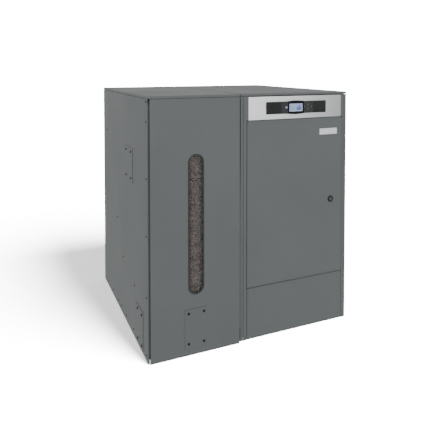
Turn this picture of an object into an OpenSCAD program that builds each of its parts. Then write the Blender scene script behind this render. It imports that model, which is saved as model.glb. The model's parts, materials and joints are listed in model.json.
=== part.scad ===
// Pellet boiler: an integral fuel hopper on the left, the boiler cabinet on the right.
// Right-handed frame in millimetres: +X to the right, +Y to the rear, +Z up.
// The origin is at the centre of the footprint, on the floor.

/* [Casing] */
// Width of the hopper cabinet
hopper_w = 448; // [440:1:520]
// Width of the boiler cabinet
boiler_w = 616; // [610:1:700]
// Shadow gap between the two cabinets
cabinet_gap = 8; // [4:1:12]
// Height of the casing, floor to the top of the covers
casing_h = 1200; // [1190:1:1300]
// How far the boiler's front stands behind the hopper's front
front_setback = 12; // [8:1:20]
// Thickness of the casing sheet
sheet_t = 1.5; // [1:0.1:2]
// Depth of the skirt around each top cover
skirt_h = 11.5; // [8:0.5:16]
// Seam between the panels and the top covers
cover_seam = 1.5; // [1:0.5:5]
// Height of the hopper panels' lower edge above the floor
hopper_panel_z = 2; // [2:1:12]
// Height of the boiler panels' lower edge above the floor
boiler_panel_z = 3; // [2:1:12]
// Height of the cabinet floors above the ground
floor_z = 24; // [22:1:30]

/* [Hopper] */
// Width of the sight window's rubber trim
window_w = 78; // [60:1:90]
// Height of the sight window's rubber trim
window_h = 649; // [500:1:680]
// Height of the window's middle above the floor
window_z = 607.5; // [590:0.5:620]
// Sideways place of the window's middle
window_x = 226; // [220:1:232]
// Width of the rubber trim's visible face
trim_face = 8; // [5:1:10]
// Thickness of the clear pane
pane_t = 3; // [2:0.5:3]
// Thickness of the fuel bin's sheet
bin_t = 2; // [1.5:0.1:3]
// Height that the pellets are filled to
pellet_z = 955; // [945:1:1050]
// Slope of the bin's rear floor, in degrees
bin_slope = 43; // [40:1:46]
// Width of the lower service plate
lower_plate_w = 110; // [104:1:130]
// Height of the lower service plate
lower_plate_h = 179; // [170:1:190]
// Width of the upper service plate on the side
upper_plate_w = 160; // [150:1:180]
// Height of the upper service plate on the side
upper_plate_h = 171; // [160:1:190]
// Thickness of the service plates
plate_t = 2; // [1.5:0.1:3]
// Radius of a plate screw's head
plate_screw_r = 6; // [4:0.5:7]
// Radius of a casing screw's head
casing_screw_r = 4.5; // [3.5:0.5:6]

/* [Feed auger] */
// Rise of the auger, in degrees
auger_angle = 45; // [43:1:46]
// Inside radius of the auger tube
auger_r = 30; // [26:1:31]
// Wall of the auger tube
auger_wall = 2.5; // [2:0.5:3]
// Pitch of the auger flight
auger_pitch = 60; // [45:1:80]
// Distance of the auger's axis behind the casing front
auger_y = 153; // [150:1:160]
// Running gap between flight and tube
flight_gap = 2; // [1:0.5:4]
// Radius of the auger's shaft
auger_shaft_r = 9; // [7:1:11]
// Sideways place of the drop onto the burner
drop_x = 700; // [690:1:710]

/* [Front] */
// Width of the frame column left of the door
left_column = 33; // [28:1:36]
// Width of the frame column right of the door
right_column = 24; // [22:1:30]
// Gap around the door and the bezel
door_gap = 4; // [3:0.5:5]
// Thickness of the door and of the drawer front
door_t = 22; // [20:1:26]
// How far the bezel's ends stand in from the door's edges
bezel_inset = 7; // [5:0.5:10]
// Height of the control bezel
bezel_h = 112; // [110:1:114]
// Height of the ash drawer's front above the floor
drawer_z = 4; // [3:1:12]
// Height of the ash drawer's front
drawer_h = 249; // [240:1:252]
// Seam between the drawer front and the door
drawer_seam = 5; // [4:0.5:7]
// Width of the black control strip
fascia_w = 346; // [320:1:370]
// Height of the black control strip
fascia_h = 60; // [54:1:66]
// How far the control strip stands proud of the bezel
fascia_proud = 3; // [2:0.5:4]
// Width of the lit display
lcd_w = 76; // [70:1:84]
// Height of the lit display
lcd_h = 38; // [34:1:44]
// Radius of a control key
key_r = 4.5; // [3.5:0.1:5]
// Travel of a control key
key_travel = 0.8; // [0.5:0.1:1]
// Radius of the door lock's ring
lock_r = 17; // [14:1:20]
// Height of the door lock
lock_z = 643; // [600:1:700]
// Distance of the lock from the door's free edge
lock_inset = 68; // [55:1:80]
// Width of the blank plate on the door
badge_w = 107; // [90:1:120]
// Height of the blank plate on the door
badge_h = 31; // [24:1:38]

/* [Boiler body] */
// Width of the water jacket
body_w = 490; // [480:1:500]
// Depth of the service room in front of the water jacket
service_room = 340; // [336:1:380]
// Depth of the water jacket
body_l = 560; // [550:1:600]
// Depth of the room behind the water jacket, with the flue fan in it
rear_room = 120; // [118:1:140]
// Height of the water jacket
body_h = 800; // [800:1:830]
// Plate thickness of the water jacket
body_t = 5; // [4:0.5:6]
// Width of the water space around the firebox
water_gap = 40; // [34:1:42]
// Height of the firebox
firebox_h = 378; // [360:1:400]
// Height of the smokebox above the tubes
smokebox_h = 117; // [112:1:120]
// Outside radius of a smoke tube
tube_r = 32; // [30:0.5:33]
// Wall of a smoke tube
tube_t = 3; // [2.5:0.5:3.5]
// Spacing of the smoke tubes sideways
tube_pitch = 95; // [85:1:98]
// Spacing of the two rows of smoke tubes
row_pitch = 160; // [150:1:170]
// Radius of the flue spigot
flue_r = 62.5; // [60:0.5:65]
// How far the flue spigot reaches behind the casing
flue_reach = 70; // [50:1:90]
// Bore radius of the water sockets
socket_r = 15.15; // [14:0.05:16]
// Depth of the water sockets' thread
socket_thread = 20; // [16:1:24]
// Thickness of the insulation
insulation_t = 24; // [20:1:24]

/* [Fits] */
// Clearance of a part that rests on another body
seat_gap = 0.3; // [0.2:0.05:0.5]
// Radial clearance of a pin in its bush
pin_gap = 0.05; // [0.02:0.01:0.1]
// Gap that the weld fills between two plates
root_gap = 0.3; // [0.2:0.05:0.5]
// Clearance around parts that pass through a hole
pass_gap = 3.5; // [2:0.5:5]

/* [Hidden] */
$fn = 48;

casing_grey = "#6b6e6f";
dark_grey = "#4a4c4d";
zinc = "#a9adaf";
steel = "#8a8f93";
black = "#202223";
silver = "#c4c6c7";

casing_w = hopper_w + cabinet_gap + boiler_w;
casing_d = service_room + body_l + rear_room;
total_d = casing_d + flue_reach;
plate_head_h = 3;
proud = plate_t + plate_head_h;
panel_top = casing_h - skirt_h - cover_seam;
post_in = 6;
post_leg = 30;
post_t = 2;
post_top = casing_h - 20;
corner_rebate = 10;
rim_h = 30;
bx0 = hopper_w + cabinet_gap;
bx1 = casing_w;

// Moves a piece from the casing's front-left corner to the origin.
module place() translate([-(casing_w - proud) / 2, -(total_d - proud) / 2, 0]) children();

// A block between its lowest and its highest corner.
module block(a, b) translate(a) cube([b[0] - a[0], b[1] - a[1], b[2] - a[2]]);

// A round bar along Y.
module bar_y(x, z, r, y0, y1) translate([x, y1, z]) rotate([90, 0, 0]) cylinder(h = y1 - y0, r = r);

// A round bar along X.
module bar_x(y, z, r, x0, x1) translate([x0, y, z]) rotate([0, 90, 0]) cylinder(h = x1 - x0, r = r);

// A round bar along Z.
module bar_z(x, y, r, z0, z1) translate([x, y, z0]) cylinder(h = z1 - z0, r = r);

// An upright slot with round ends, cut or filled along Y.
module slot_y(x, z, w, h, y0, y1) {
    translate([x, y1, z]) rotate([90, 0, 0]) linear_extrude(y1 - y0) union() {
        square([w, h - w], center = true);
        translate([0, (h - w) / 2]) circle(d = w, $fn = 64);
        translate([0, -(h - w) / 2]) circle(d = w, $fn = 64);
    }
}

// Copies to the four corners of a rectangle in the XZ plane.
module four_xz(x, y, z, w, h) {
    for (i = [-1, 1], j = [-1, 1]) translate([x + i * w / 2, y, z + j * h / 2]) children();
}

// An angle post whose outer corner is at the origin.
module angle_post(h) {
    linear_extrude(h) union() {
        square([post_leg, post_t]);
        square([post_t, post_leg]);
    }
}

// A cabinet floor: a plate with an upturned rim.
module cabinet_floor(x0, y0, x1, y1) {
    difference() {
        block([x0, y0, floor_z], [x1, y1, floor_z + rim_h]);
        block([x0 + 2, y0 + 2, floor_z + 3], [x1 - 2, y1 - 2, floor_z + rim_h + 1]);
    }
}

// A levelling foot under a cabinet floor.
module foot(x, y) {
    bar_z(x, y, 20, 0, 8);
    bar_z(x, y, 6, 8, floor_z);
}

// A top cover: a sheet with a skirt and four pads that rest on the posts.
module top_cover(x0, y0, x1, y1, pads) {
    difference() {
        block([x0, y0, casing_h - skirt_h], [x1, y1, casing_h]);
        block([x0 + sheet_t, y0 + sheet_t, casing_h - skirt_h - 1],
              [x1 - sheet_t, y1 - sheet_t, casing_h - sheet_t]);
    }
    for (p = pads) block([p[0] - 8, p[1] - 8, post_top + seat_gap], [p[0] + 8, p[1] + 8, casing_h - sheet_t]);
}

// The hopper cabinet.

service_y = auger_y;
feed_x = 222;
service_z = 128;
side_plate_z = 106;
side_plate_w = 120;
side_plate_h = 183;
upper_y = 359;
upper_z = 844;
plate_screw_w = lower_plate_w - 35;
plate_screw_h = lower_plate_h - 38;
side_screw_w = 77;
side_screw_h = 145;
upper_screw_w = 100;
upper_screw_h = 131;
screw_inset = 30;
row_z = floor_z + 8;
column_z = concat([row_z], [for (f = [0.246, 0.477, 0.692, 0.904]) f * casing_h], [panel_top - 12]);
row_y = [for (f = [0.275, 0.422, 0.539, 0.608, 0.75, 0.873]) f * casing_d];
inner_screws = [[0.25, 0.218], [0.629, 0.411], [0.488, 0.267], [0.897, 0.792]];
side_screws = concat([for (z = column_z) [screw_inset, z]], [for (y = row_y) [y, row_z]],
    [for (q = inner_screws) [q[0] * casing_d, q[1] * casing_h]]);

module hopper_base() color(dark_grey) place()
    cabinet_floor(post_in, post_in, hopper_w - post_in, casing_d - post_in);

module levelling_feet() color(black) place() {
    for (x = [50, hopper_w - 50], y = [60, casing_d - 60]) foot(x, y);
    for (x = [bx0 + 50, bx1 - 50], y = [90, casing_d - 60]) foot(x, y);
}

module hopper_posts() color(zinc) place() {
    h = post_top - floor_z - rim_h;
    for (mx = [0, 1], my = [0, 1])
        translate([mx == 0 ? post_in : hopper_w - post_in, my == 0 ? post_in : casing_d - post_in,
                   floor_z + rim_h])
            mirror([mx, 0, 0]) mirror([0, my, 0]) angle_post(h);
}

module side_openings() {
    block([-1, upper_y - 40, upper_z - 55], [sheet_t + 1, upper_y + 40, upper_z + 55]);
    block([-1, service_y - 30, side_plate_z - 60], [sheet_t + 1, service_y + 30, side_plate_z + 60]);
    for (p = side_screws) bar_x(p[0], p[1], casing_screw_r / 2 + 0.2, -1, sheet_t + 1);
}

module hopper_left_panel() color(casing_grey) place() difference() {
    union() {
        block([0, corner_rebate, hopper_panel_z], [sheet_t, casing_d, panel_top]);
        for (y = [corner_rebate, casing_d - corner_rebate - sheet_t])
            block([0, y, hopper_panel_z], [post_in, y + sheet_t, panel_top]);
    }
    side_openings();
    side_plate_screws(2.7, sheet_t + 1);
}

module hopper_front_panel() color(casing_grey) place() difference() {
    union() {
        block([corner_rebate, 0, hopper_panel_z], [hopper_w, sheet_t, panel_top]);
        for (x = [corner_rebate, hopper_w - corner_rebate - sheet_t])
            block([x, 0, hopper_panel_z], [x + sheet_t, post_in, panel_top]);
    }
    slot_y(window_x, window_z, window_w - 6, window_h - 6, -1, sheet_t + 1);
    block([window_x - 30, -1, service_z - 60], [window_x + 30, sheet_t + 1, service_z + 60]);
    front_plate_screws(2.7, sheet_t + 1);
}

module hopper_right_panel() color(casing_grey) place() difference() {
    union() {
        block([hopper_w - sheet_t, sheet_t, hopper_panel_z], [hopper_w, casing_d, panel_top]);
        for (y = [corner_rebate, casing_d - corner_rebate - sheet_t])
            block([hopper_w - post_in, y, hopper_panel_z], [hopper_w, y + sheet_t, panel_top]);
    }
    auger_hole();
}

module hopper_back_panel() color(casing_grey) place() union() {
    block([sheet_t, casing_d - sheet_t, hopper_panel_z], [hopper_w - sheet_t, casing_d, panel_top]);
    for (x = [corner_rebate, hopper_w - corner_rebate - sheet_t])
        block([x, casing_d - post_in, hopper_panel_z], [x + sheet_t, casing_d, panel_top]);
}

// The bin: two crossed funnels, over a chute onto the auger tube.
bin_x0 = post_in + 6;
bin_x1 = hopper_w - post_in - 6;
bin_y0 = post_in + post_t;
bin_y1 = casing_d - post_in - post_t;
bin_top = panel_top - 1;
outlet_z = 215;
outlet_x = 50;
outlet_y = 30;
bin_front_z = 268;
bin_rear_z = outlet_z + (bin_y1 - auger_y - outlet_y) * tan(bin_slope);
bin_side_z = outlet_z + 195;

function bin_profile(a, b, c, d, za, zb, i, bottom, top) =
    let (m = (outlet_z - za) / (c - a), n = (zb - outlet_z) / (b - d),
         rise_m = i * sqrt(1 + m * m), rise_n = i * sqrt(1 + n * n))
    [[a + i, top], [a + i, za + m * i + rise_m], [c + i, outlet_z + m * i + rise_m],
     [c + i, bottom], [d - i, bottom], [d - i, outlet_z - n * i + rise_n],
     [b - i, zb - n * i + rise_n], [b - i, top]];

module bin_space(i, bottom, top) {
    intersection() {
        translate([bin_x0 - 1, 0, 0]) rotate([90, 0, 90]) linear_extrude(bin_x1 - bin_x0 + 2)
            polygon(bin_profile(bin_y0, bin_y1, auger_y - outlet_y, auger_y + outlet_y,
                                bin_front_z, bin_rear_z, i, bottom, top));
        translate([0, bin_y1 + 1, 0]) rotate([90, 0, 0]) linear_extrude(bin_y1 - bin_y0 + 2)
            polygon(bin_profile(bin_x0, bin_x1, feed_x - outlet_x, feed_x + outlet_x,
                                bin_side_z, bin_side_z, i, bottom, top));
    }
}

module chute(i, top) {
    translate([0, auger_y + outlet_y - i, 0]) rotate([90, 0, 0]) linear_extrude(2 * (outlet_y - i))
        polygon([[feed_x - outlet_x + i, auger_axis_z(feed_x - outlet_x + i)],
                 [feed_x + outlet_x - i, auger_axis_z(feed_x + outlet_x - i)],
                 [feed_x + outlet_x - i, top], [feed_x - outlet_x + i, top]]);
}

module hopper_bin() color(zinc) place() difference() {
    union() {
        bin_space(0, outlet_z - 6, bin_top);
        chute(0, outlet_z - 5);
    }
    bin_space(bin_t, outlet_z - 7, bin_top + 1);
    chute(bin_t, outlet_z - 4);
    auger_frame() translate([0, 0, auger_low - 20]) cylinder(h = hopper_w, r = auger_r + auger_wall + seat_gap);
    slot_y(window_x, window_z, window_w - 2 * trim_face, window_h - 2 * trim_face,
           bin_y0 - 1, bin_y0 + bin_t + 1);
}

pane_y = bin_y0 - pane_t;

module window_pane() color("#d8e4e6", 0.3) place()
    slot_y(window_x, window_z, window_w + 6, window_h + 6, pane_y, bin_y0);

module window_trim() color(black) place() difference() {
    union() {
        slot_y(window_x, window_z, window_w, window_h, -2, 0);
        slot_y(window_x, window_z, window_w - 6.4, window_h - 6.4, -1, sheet_t + 1);
        slot_y(window_x, window_z, window_w + 6, window_h + 6, sheet_t, pane_y);
    }
    slot_y(window_x, window_z, window_w - 2 * trim_face, window_h - 2 * trim_face, -3, pane_y + 1);
}

module pellet_fill() color("#a98a62") place()
    bin_space(bin_t + seat_gap, outlet_z - 5, pellet_z);

module service_plates() color(casing_grey) place() {
    difference() {
        block([window_x - lower_plate_w / 2, -plate_t, service_z - lower_plate_h / 2],
              [window_x + lower_plate_w / 2, 0, service_z + lower_plate_h / 2]);
        front_plate_screws(2.7, 1);
    }
    difference() {
        union() {
            block([-plate_t, service_y - side_plate_w / 2, side_plate_z - side_plate_h / 2],
                  [0, service_y + side_plate_w / 2, side_plate_z + side_plate_h / 2]);
            block([-plate_t, upper_y - upper_plate_w / 2, upper_z - upper_plate_h / 2],
                  [0, upper_y + upper_plate_w / 2, upper_z + upper_plate_h / 2]);
        }
        side_plate_screws(2.7, 1);
    }
}

module front_plate_screws(r, depth) four_xz(window_x, 0, service_z, plate_screw_w, plate_screw_h)
    bar_y(0, 0, r, -plate_t - 1, depth);

module side_plate_screws(r, depth) {
    for (i = [-1, 1], j = [-1, 1]) {
        bar_x(service_y + i * side_screw_w / 2, side_plate_z + j * side_screw_h / 2, r, -plate_t - 1, depth);
        bar_x(upper_y + i * upper_screw_w / 2, upper_z + j * upper_screw_h / 2, r, -plate_t - 1, depth);
    }
}

// A domed screw head with its shank, head outwards along -Z.
module screw(head_r, head_h, shank_r, length) {
    intersection() {
        translate([0, 0, -head_h]) cylinder(h = head_h, r = head_r, $fn = 24);
        translate([0, 0, head_r * 1.6 - head_h]) sphere(r = head_r * 1.6, $fn = 32);
    }
    cylinder(h = length, r = shank_r, $fn = 16);
}

module plate_screws() {
    four_xz(window_x, -plate_t, service_z, plate_screw_w, plate_screw_h)
        rotate([-90, 0, 0]) screw(plate_screw_r, plate_head_h, 2.5, plate_t + sheet_t + 2);
    for (i = [-1, 1], j = [-1, 1]) {
        translate([-plate_t, service_y + i * side_screw_w / 2, side_plate_z + j * side_screw_h / 2])
            rotate([0, 90, 0]) screw(plate_screw_r, plate_head_h, 2.5, plate_t + sheet_t + 2);
        translate([-plate_t, upper_y + i * upper_screw_w / 2, upper_z + j * upper_screw_h / 2])
            rotate([0, 90, 0]) screw(plate_screw_r, plate_head_h, 2.5, plate_t + sheet_t + 2);
    }
}

module casing_screws() color(black) place() {
    plate_screws();
    for (p = side_screws) translate([0, p[0], p[1]])
        rotate([0, 90, 0]) screw(casing_screw_r, 2, casing_screw_r / 2, post_in);
}

hinge_y = casing_d + 6;
hinge_z = casing_h - skirt_h;
hinge_x = [80, hopper_w - 120];
knuckle_r = 5;
gasket_w = 16;
lid_pin_r = 2.5;

module hopper_lid() color(casing_grey) place() {
    top_cover(0, 0, hopper_w, casing_d, []);
    for (x = hinge_x) difference() {
        union() {
            bar_x(hinge_y, hinge_z, knuckle_r, x + 20 + seat_gap, x + 40);
            block([x + 20 + seat_gap, casing_d, hinge_z], [x + 40, hinge_y, hinge_z + skirt_h - 1]);
        }
        bar_x(hinge_y, hinge_z, lid_pin_r + pin_gap, x, x + 60);
    }
}

module lid_hinges() color(steel) place() for (x = hinge_x) {
    bar_x(hinge_y, hinge_z, knuckle_r, x, x + 20);
    bar_x(hinge_y, hinge_z, lid_pin_r, x + 19, x + 42);
    difference() {
        block([x, casing_d, hinge_z - 40], [x + 20, casing_d + 3, hinge_z]);
        bar_y(x + 10, hinge_z - 30, 2, casing_d - 1, casing_d + 4);
    }
}

module lid_gasket() color(black) place() difference() {
    block([bin_x0 - 1, bin_y0 - 1, bin_top + seat_gap], [bin_x1 + 1, bin_y1 + 1, casing_h - sheet_t]);
    block([bin_x0 + gasket_w, bin_y0 + gasket_w, bin_top - 1],
          [bin_x1 - gasket_w, bin_y1 - gasket_w, casing_h]);
}

// The inclined feed auger.

auger_z = side_plate_z;
function auger_axis_z(x) = auger_z + (x - feed_x) * tan(auger_angle);
auger_low = -70;
auger_high = (drop_x + 40 - feed_x) / cos(auger_angle);
flight_start = -58;
flight_end = (drop_x - feed_x) / cos(auger_angle) + 10;
flight_turns = (flight_end - flight_start) / auger_pitch;

// Local +Z runs up along the auger's axis, from the point under the bin's outlet.
module auger_frame() translate([feed_x, auger_y, auger_z]) rotate([0, 90 - auger_angle, 0]) children();

module auger_hole() auger_frame()
    cylinder(h = auger_high, r = auger_r + auger_wall + pass_gap);

module auger_tube() color(zinc) place() difference() {
    union() {
        auger_frame() translate([0, 0, auger_low])
            cylinder(h = auger_high - auger_low, r = auger_r + auger_wall);
        auger_frame() translate([0, 0, auger_high - 4]) cylinder(h = 4, r = 45);
        bar_z(drop_x, auger_y, auger_r, spout_z, auger_axis_z(drop_x));
        block([feed_x - 32, auger_y - 25, floor_z + 3],
              [feed_x - 26, auger_y + 25, auger_axis_z(feed_x - 29)]);
    }
    auger_frame() translate([0, 0, auger_low + 4]) cylinder(h = auger_high - auger_low - 8, r = auger_r);
    auger_frame() translate([0, 0, auger_low - 1])
        cylinder(h = auger_high - auger_low + 2, r = auger_shaft_r + pin_gap);
    bar_z(drop_x, auger_y, auger_r - 3, spout_z - 1, auger_axis_z(drop_x));
    chute(bin_t + 1, outlet_z);
}

module auger_screw() color(steel) place() auger_frame() {
    translate([0, 0, auger_low + 0.5]) cylinder(h = auger_high - auger_low + 25, r = auger_shaft_r);
    translate([0, 0, flight_start])
        linear_extrude(flight_end - flight_start, twist = -360 * flight_turns,
                       slices = ceil(16 * flight_turns), $fn = 4)
            translate([auger_shaft_r + seat_gap, -1.5])
                square([auger_r - flight_gap - auger_shaft_r - seat_gap, 3]);
}

module auger_gearmotor() color(dark_grey) place() auger_frame() difference() {
    union() {
        translate([-45, -45, auger_high]) cube([90, 90, 46]);
        translate([0, 0, auger_high + 46]) cylinder(h = 104, r = 34);
        translate([0, 0, auger_high + 150]) cylinder(h = 14, r = 30);
        translate([-52, -20, auger_high + 70]) cube([30, 40, 50]);
    }
    translate([0, 0, auger_high - 1]) cylinder(h = 30, r = auger_shaft_r + pin_gap);
}

burner_z = 350;
burner_top = 430;
neck_z = burner_top + 25;
spout_z = neck_z + 25;
hose_top = spout_z + 23;
hose_low = neck_z - 20;

module feed_hose() color("#3a3c3e") place() translate([drop_x, auger_y, hose_low])
    difference() {
        union() {
            cylinder(h = hose_top - hose_low, r = auger_r + 3);
            for (z = [7 : 6 : hose_top - hose_low - 6])
                translate([0, 0, z]) rotate_extrude() translate([auger_r + 2.5, 0]) circle(r = 2, $fn = 16);
        }
        translate([0, 0, -1]) cylinder(h = hose_top - hose_low + 2, r = auger_r + seat_gap);
    }

// The boiler cabinet.

front_y = front_setback;
rail_y = front_y + 28;
door_x0 = bx0 + left_column + door_gap;
door_x1 = bx1 - right_column - door_gap;
door_w = door_x1 - door_x0;
drawer_top = drawer_z + drawer_h;
door_z0 = drawer_top + drawer_seam;
bezel_head_gap = 3;
bezel_top = panel_top - bezel_head_gap;
bezel_z = bezel_top - bezel_h;
bezel_x0 = door_x0 + bezel_inset;
bezel_x1 = door_x1 - bezel_inset;
bezel_fit = 0.5;
door_z1 = bezel_z - door_gap;
fascia_z = bezel_z + bezel_h / 2 - 1;
fascia_x = door_x0 + 275;
base_x0 = bx0 + post_in;
base_x1 = bx1 - post_in;

module boiler_base() color(dark_grey) place()
    cabinet_floor(base_x0, rail_y, base_x1, casing_d - post_in);

// A side panel, folded round the front corner towards the frame column.
module side_panel(x0, x1, fold_x0, fold_x1) {
    block([x0, front_y, boiler_panel_z], [x1, casing_d, panel_top]);
    block([fold_x0, front_y, boiler_panel_z], [fold_x1, front_y + sheet_t, panel_top]);
}

module boiler_left_panel() color(casing_grey) place() difference() {
    union() {
        side_panel(bx0, bx0 + sheet_t, bx0, bx0 + left_column / 2 - 1);
        block([bx0, casing_d - corner_rebate - sheet_t, boiler_panel_z],
              [bx0 + post_in, casing_d - corner_rebate, panel_top]);
    }
    auger_hole();
}

module boiler_right_panel() color(casing_grey) place() union() {
    side_panel(bx1 - sheet_t, bx1, bx1 - right_column / 2 - 3, bx1);
    block([bx1 - post_in, casing_d - corner_rebate - sheet_t, boiler_panel_z],
          [bx1, casing_d - corner_rebate, panel_top]);
}

// The pipes and the flue at the rear.
body_x0 = (bx0 + bx1) / 2 - body_w / 2 + 1;
body_x1 = body_x0 + body_w;
body_y0 = service_room;
body_y1 = body_y0 + body_l;
body_z0 = 262;
body_z1 = body_z0 + body_h;
mid_x = (body_x0 + body_x1) / 2;
smoke_z = body_z1 - smokebox_h;
flue_z = body_z1 - smokebox_h / 2;
fan_x = mid_x;
flue_x = mid_x + 104;
flow_pos = [body_x0 + 80, body_z1 - 62];
return_pos = [body_x0 + 80, body_z0 + 68];
drain_pos = [body_x1 - 70, body_z0 + 38];
flow_r = 22;
drain_r = 9.3;
drain_outer_r = 14;
gas_r = 40;
collar_r = 46;
gland_pos = [bx1 - 52, 200];
gland_r = 6;
pipe_reach = 20;

module boiler_back_panel() color(casing_grey) place() difference() {
    union() {
        block([bx0 + sheet_t, casing_d - sheet_t, boiler_panel_z], [bx1 - sheet_t, casing_d, panel_top]);
        for (x = [bx0 + corner_rebate, bx1 - corner_rebate - sheet_t])
            block([x, casing_d - post_in, boiler_panel_z], [x + sheet_t, casing_d, panel_top]);
    }
    bar_y(flue_x, flue_z, flue_r + pass_gap, casing_d - 10, casing_d + 5);
    for (p = [flow_pos, return_pos]) bar_y(p[0], p[1], flow_r + pass_gap, casing_d - 10, casing_d + 5);
    bar_y(drain_pos[0], drain_pos[1], drain_outer_r + pass_gap, casing_d - 10, casing_d + 5);
    bar_y(gland_pos[0], gland_pos[1], 10.2, casing_d - 10, casing_d + 5);
}

module cable_gland() color(black) place() difference() {
    union() {
        bar_y(gland_pos[0], gland_pos[1], 10, casing_d - 10, casing_d + 1);
        bar_y(gland_pos[0], gland_pos[1], 14, casing_d, casing_d + 14);
        translate([gland_pos[0], casing_d + 26, gland_pos[1]]) rotate([90, 0, 0])
            cylinder(h = 12, r1 = 9, r2 = 13);
    }
    bar_y(gland_pos[0], gland_pos[1], gland_r, casing_d - 11, casing_d + 27);
}

// A frame column beside the door: a face, a return and a rear leg.
module column(x0, x1, return_x, leg_x0, leg_x1) {
    block([x0, front_y, boiler_panel_z], [x1, front_y + sheet_t, panel_top]);
    block([return_x, front_y, boiler_panel_z], [return_x + sheet_t, rail_y, panel_top]);
    block([leg_x0, rail_y - sheet_t, boiler_panel_z], [leg_x1, rail_y, panel_top]);
}

module front_posts() color(casing_grey) place() {
    column(bx0 + left_column / 2, bx0 + left_column, bx0 + left_column - sheet_t,
           bx0 + 2, bx0 + left_column);
    column(bx1 - right_column, bx1 - right_column / 2 - 4, bx1 - right_column,
           bx1 - right_column, bx1 - 2);
    for (x = [[bx0 + left_column - 1, bezel_x0 - bezel_fit], [bezel_x1 + bezel_fit, bx1 - right_column + 1]])
        block([x[0], front_y, bezel_z], [x[1], front_y + sheet_t, panel_top]);
}

module rear_posts() color(zinc) place() {
    h = post_top - floor_z - rim_h;
    for (mx = [0, 1])
        translate([mx == 0 ? base_x0 : base_x1, casing_d - post_in, floor_z + rim_h])
            mirror([mx, 0, 0]) mirror([0, 1, 0]) angle_post(h);
}

rail_h = 22;
rail_z = [door_z0 - 18, bezel_z - 12, post_top - rail_h];

module front_rails() color(zinc) place() for (z = rail_z)
    block([base_x0, rail_y, z], [base_x1, rail_y + 4, z + rail_h]);

cover_pads = [[base_x0 + 14, rail_y + 8 + seat_gap], [base_x1 - 14, rail_y + 8 + seat_gap],
    [base_x0 + 8, casing_d - post_in - 10], [base_x1 - 8, casing_d - post_in - 10]];

module boiler_cover() color(casing_grey) place()
    top_cover(bx0, front_y, bx1, casing_d, cover_pads);

// The door, hung on pins at its left edge.

hinge_inset = 8;
door_hinge_x = door_x0 + hinge_inset;
door_hinge_y = front_y + hinge_inset;
door_pin_r = 4;
bush_r = 7;
bush_h = 26;
strap_t = 2;
strap_gap = 1.2;

module hinge_pin(z_strap, up) {
    block([bx0 + left_column, front_y + 3, z_strap], [door_hinge_x + 6, rail_y - 2, z_strap + strap_t]);
    bar_z(door_hinge_x, door_hinge_y, door_pin_r,
          up ? z_strap + 1 : z_strap - bush_h, up ? z_strap + bush_h : z_strap + 1);
}

module door_hinge_pins() color(steel) place() {
    hinge_pin(door_z0 - strap_gap - strap_t, true);
    hinge_pin(door_z1 + strap_gap, false);
}

lock_x = door_x1 - lock_inset;
lock_bore_r = 9;
return_t = 1.5;
cam_y = rail_y + 0.6;

// A folded pan: a face with returns on all four edges.
module pan(x0, x1, z0, z1) {
    difference() {
        block([x0, front_y, z0], [x1, front_y + door_t, z1]);
        block([x0 + return_t, front_y + sheet_t, z0 + return_t],
              [x1 - return_t, front_y + door_t + 1, z1 - return_t]);
    }
}

module door_panel() color(casing_grey) place() difference() {
    union() {
        pan(door_x0, door_x1, door_z0, door_z1);
        block([door_x0 + 18, front_y + door_t - return_t, door_z0 + return_t],
              [door_x1 - return_t, front_y + door_t, door_z1 - return_t]);
        bar_z(door_hinge_x, door_hinge_y, bush_r, door_z0 + 0.5, door_z0 + bush_h);
        bar_z(door_hinge_x, door_hinge_y, bush_r, door_z1 - bush_h, door_z1 - 0.5);
    }
    bar_z(door_hinge_x, door_hinge_y, door_pin_r + pin_gap, door_z0 - 1, door_z0 + bush_h + 1);
    bar_z(door_hinge_x, door_hinge_y, door_pin_r + pin_gap, door_z1 - bush_h - 1, door_z1 + 1);
    bar_y(lock_x, lock_z, lock_bore_r + 3, front_y - 1, front_y + door_t + 1);
}

badge_inset = 31;
badge_x = door_x1 - badge_inset - badge_w;
badge_z = door_z1 - 86.5;

module door_badge() color("#adb1b6") place()
    block([badge_x, front_y - 1, badge_z], [badge_x + badge_w, front_y, badge_z + badge_h]);

module lock_ring() color(black) place() difference() {
    union() {
        translate([lock_x, front_y, lock_z]) rotate([90, 0, 0])
            cylinder(h = 4, r1 = lock_r, r2 = lock_r - 2);
        bar_y(lock_x, lock_z, lock_bore_r + 3 - 0.2, front_y, front_y + door_t + 2);
    }
    bar_y(lock_x, lock_z, lock_bore_r + pin_gap, front_y - 10, front_y + door_t + 10);
}

// The lock core carries the cam; at rest the cam hangs inside the door's outline.
module lock_core() color(steel) place() {
    difference() {
        bar_y(lock_x, lock_z, lock_bore_r, front_y - 3, cam_y + 5);
        block([lock_x - 5, front_y - 4, lock_z - 1.2], [lock_x + 5, front_y - 1, lock_z + 1.2]);
    }
    difference() {
        block([lock_x - 11, cam_y, lock_z - lock_inset - 14], [lock_x + 11, cam_y + 3, lock_z + 12]);
        bar_y(lock_x, lock_z, lock_bore_r + pin_gap, cam_y - 1, cam_y + 4);
    }
    bar_y(lock_x, lock_z, lock_bore_r + 4, cam_y + 3, cam_y + 6);
}

// The control panel in its bezel.

fascia_x0 = fascia_x - fascia_w / 2;
fascia_x1 = fascia_x + fascia_w / 2;
bezel_t = 2;
fascia_lip = 4;
fascia_body = 18;
fascia_front = front_y - fascia_proud;
fascia_back = front_y + fascia_body;
lens_rise = 4;
lens_w = 105;
lens_r = (lens_w * lens_w / 4 + lens_rise * lens_rise) / (2 * lens_rise);
lcd_x = fascia_x - 5;
lcd_z = fascia_z - 1;

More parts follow.
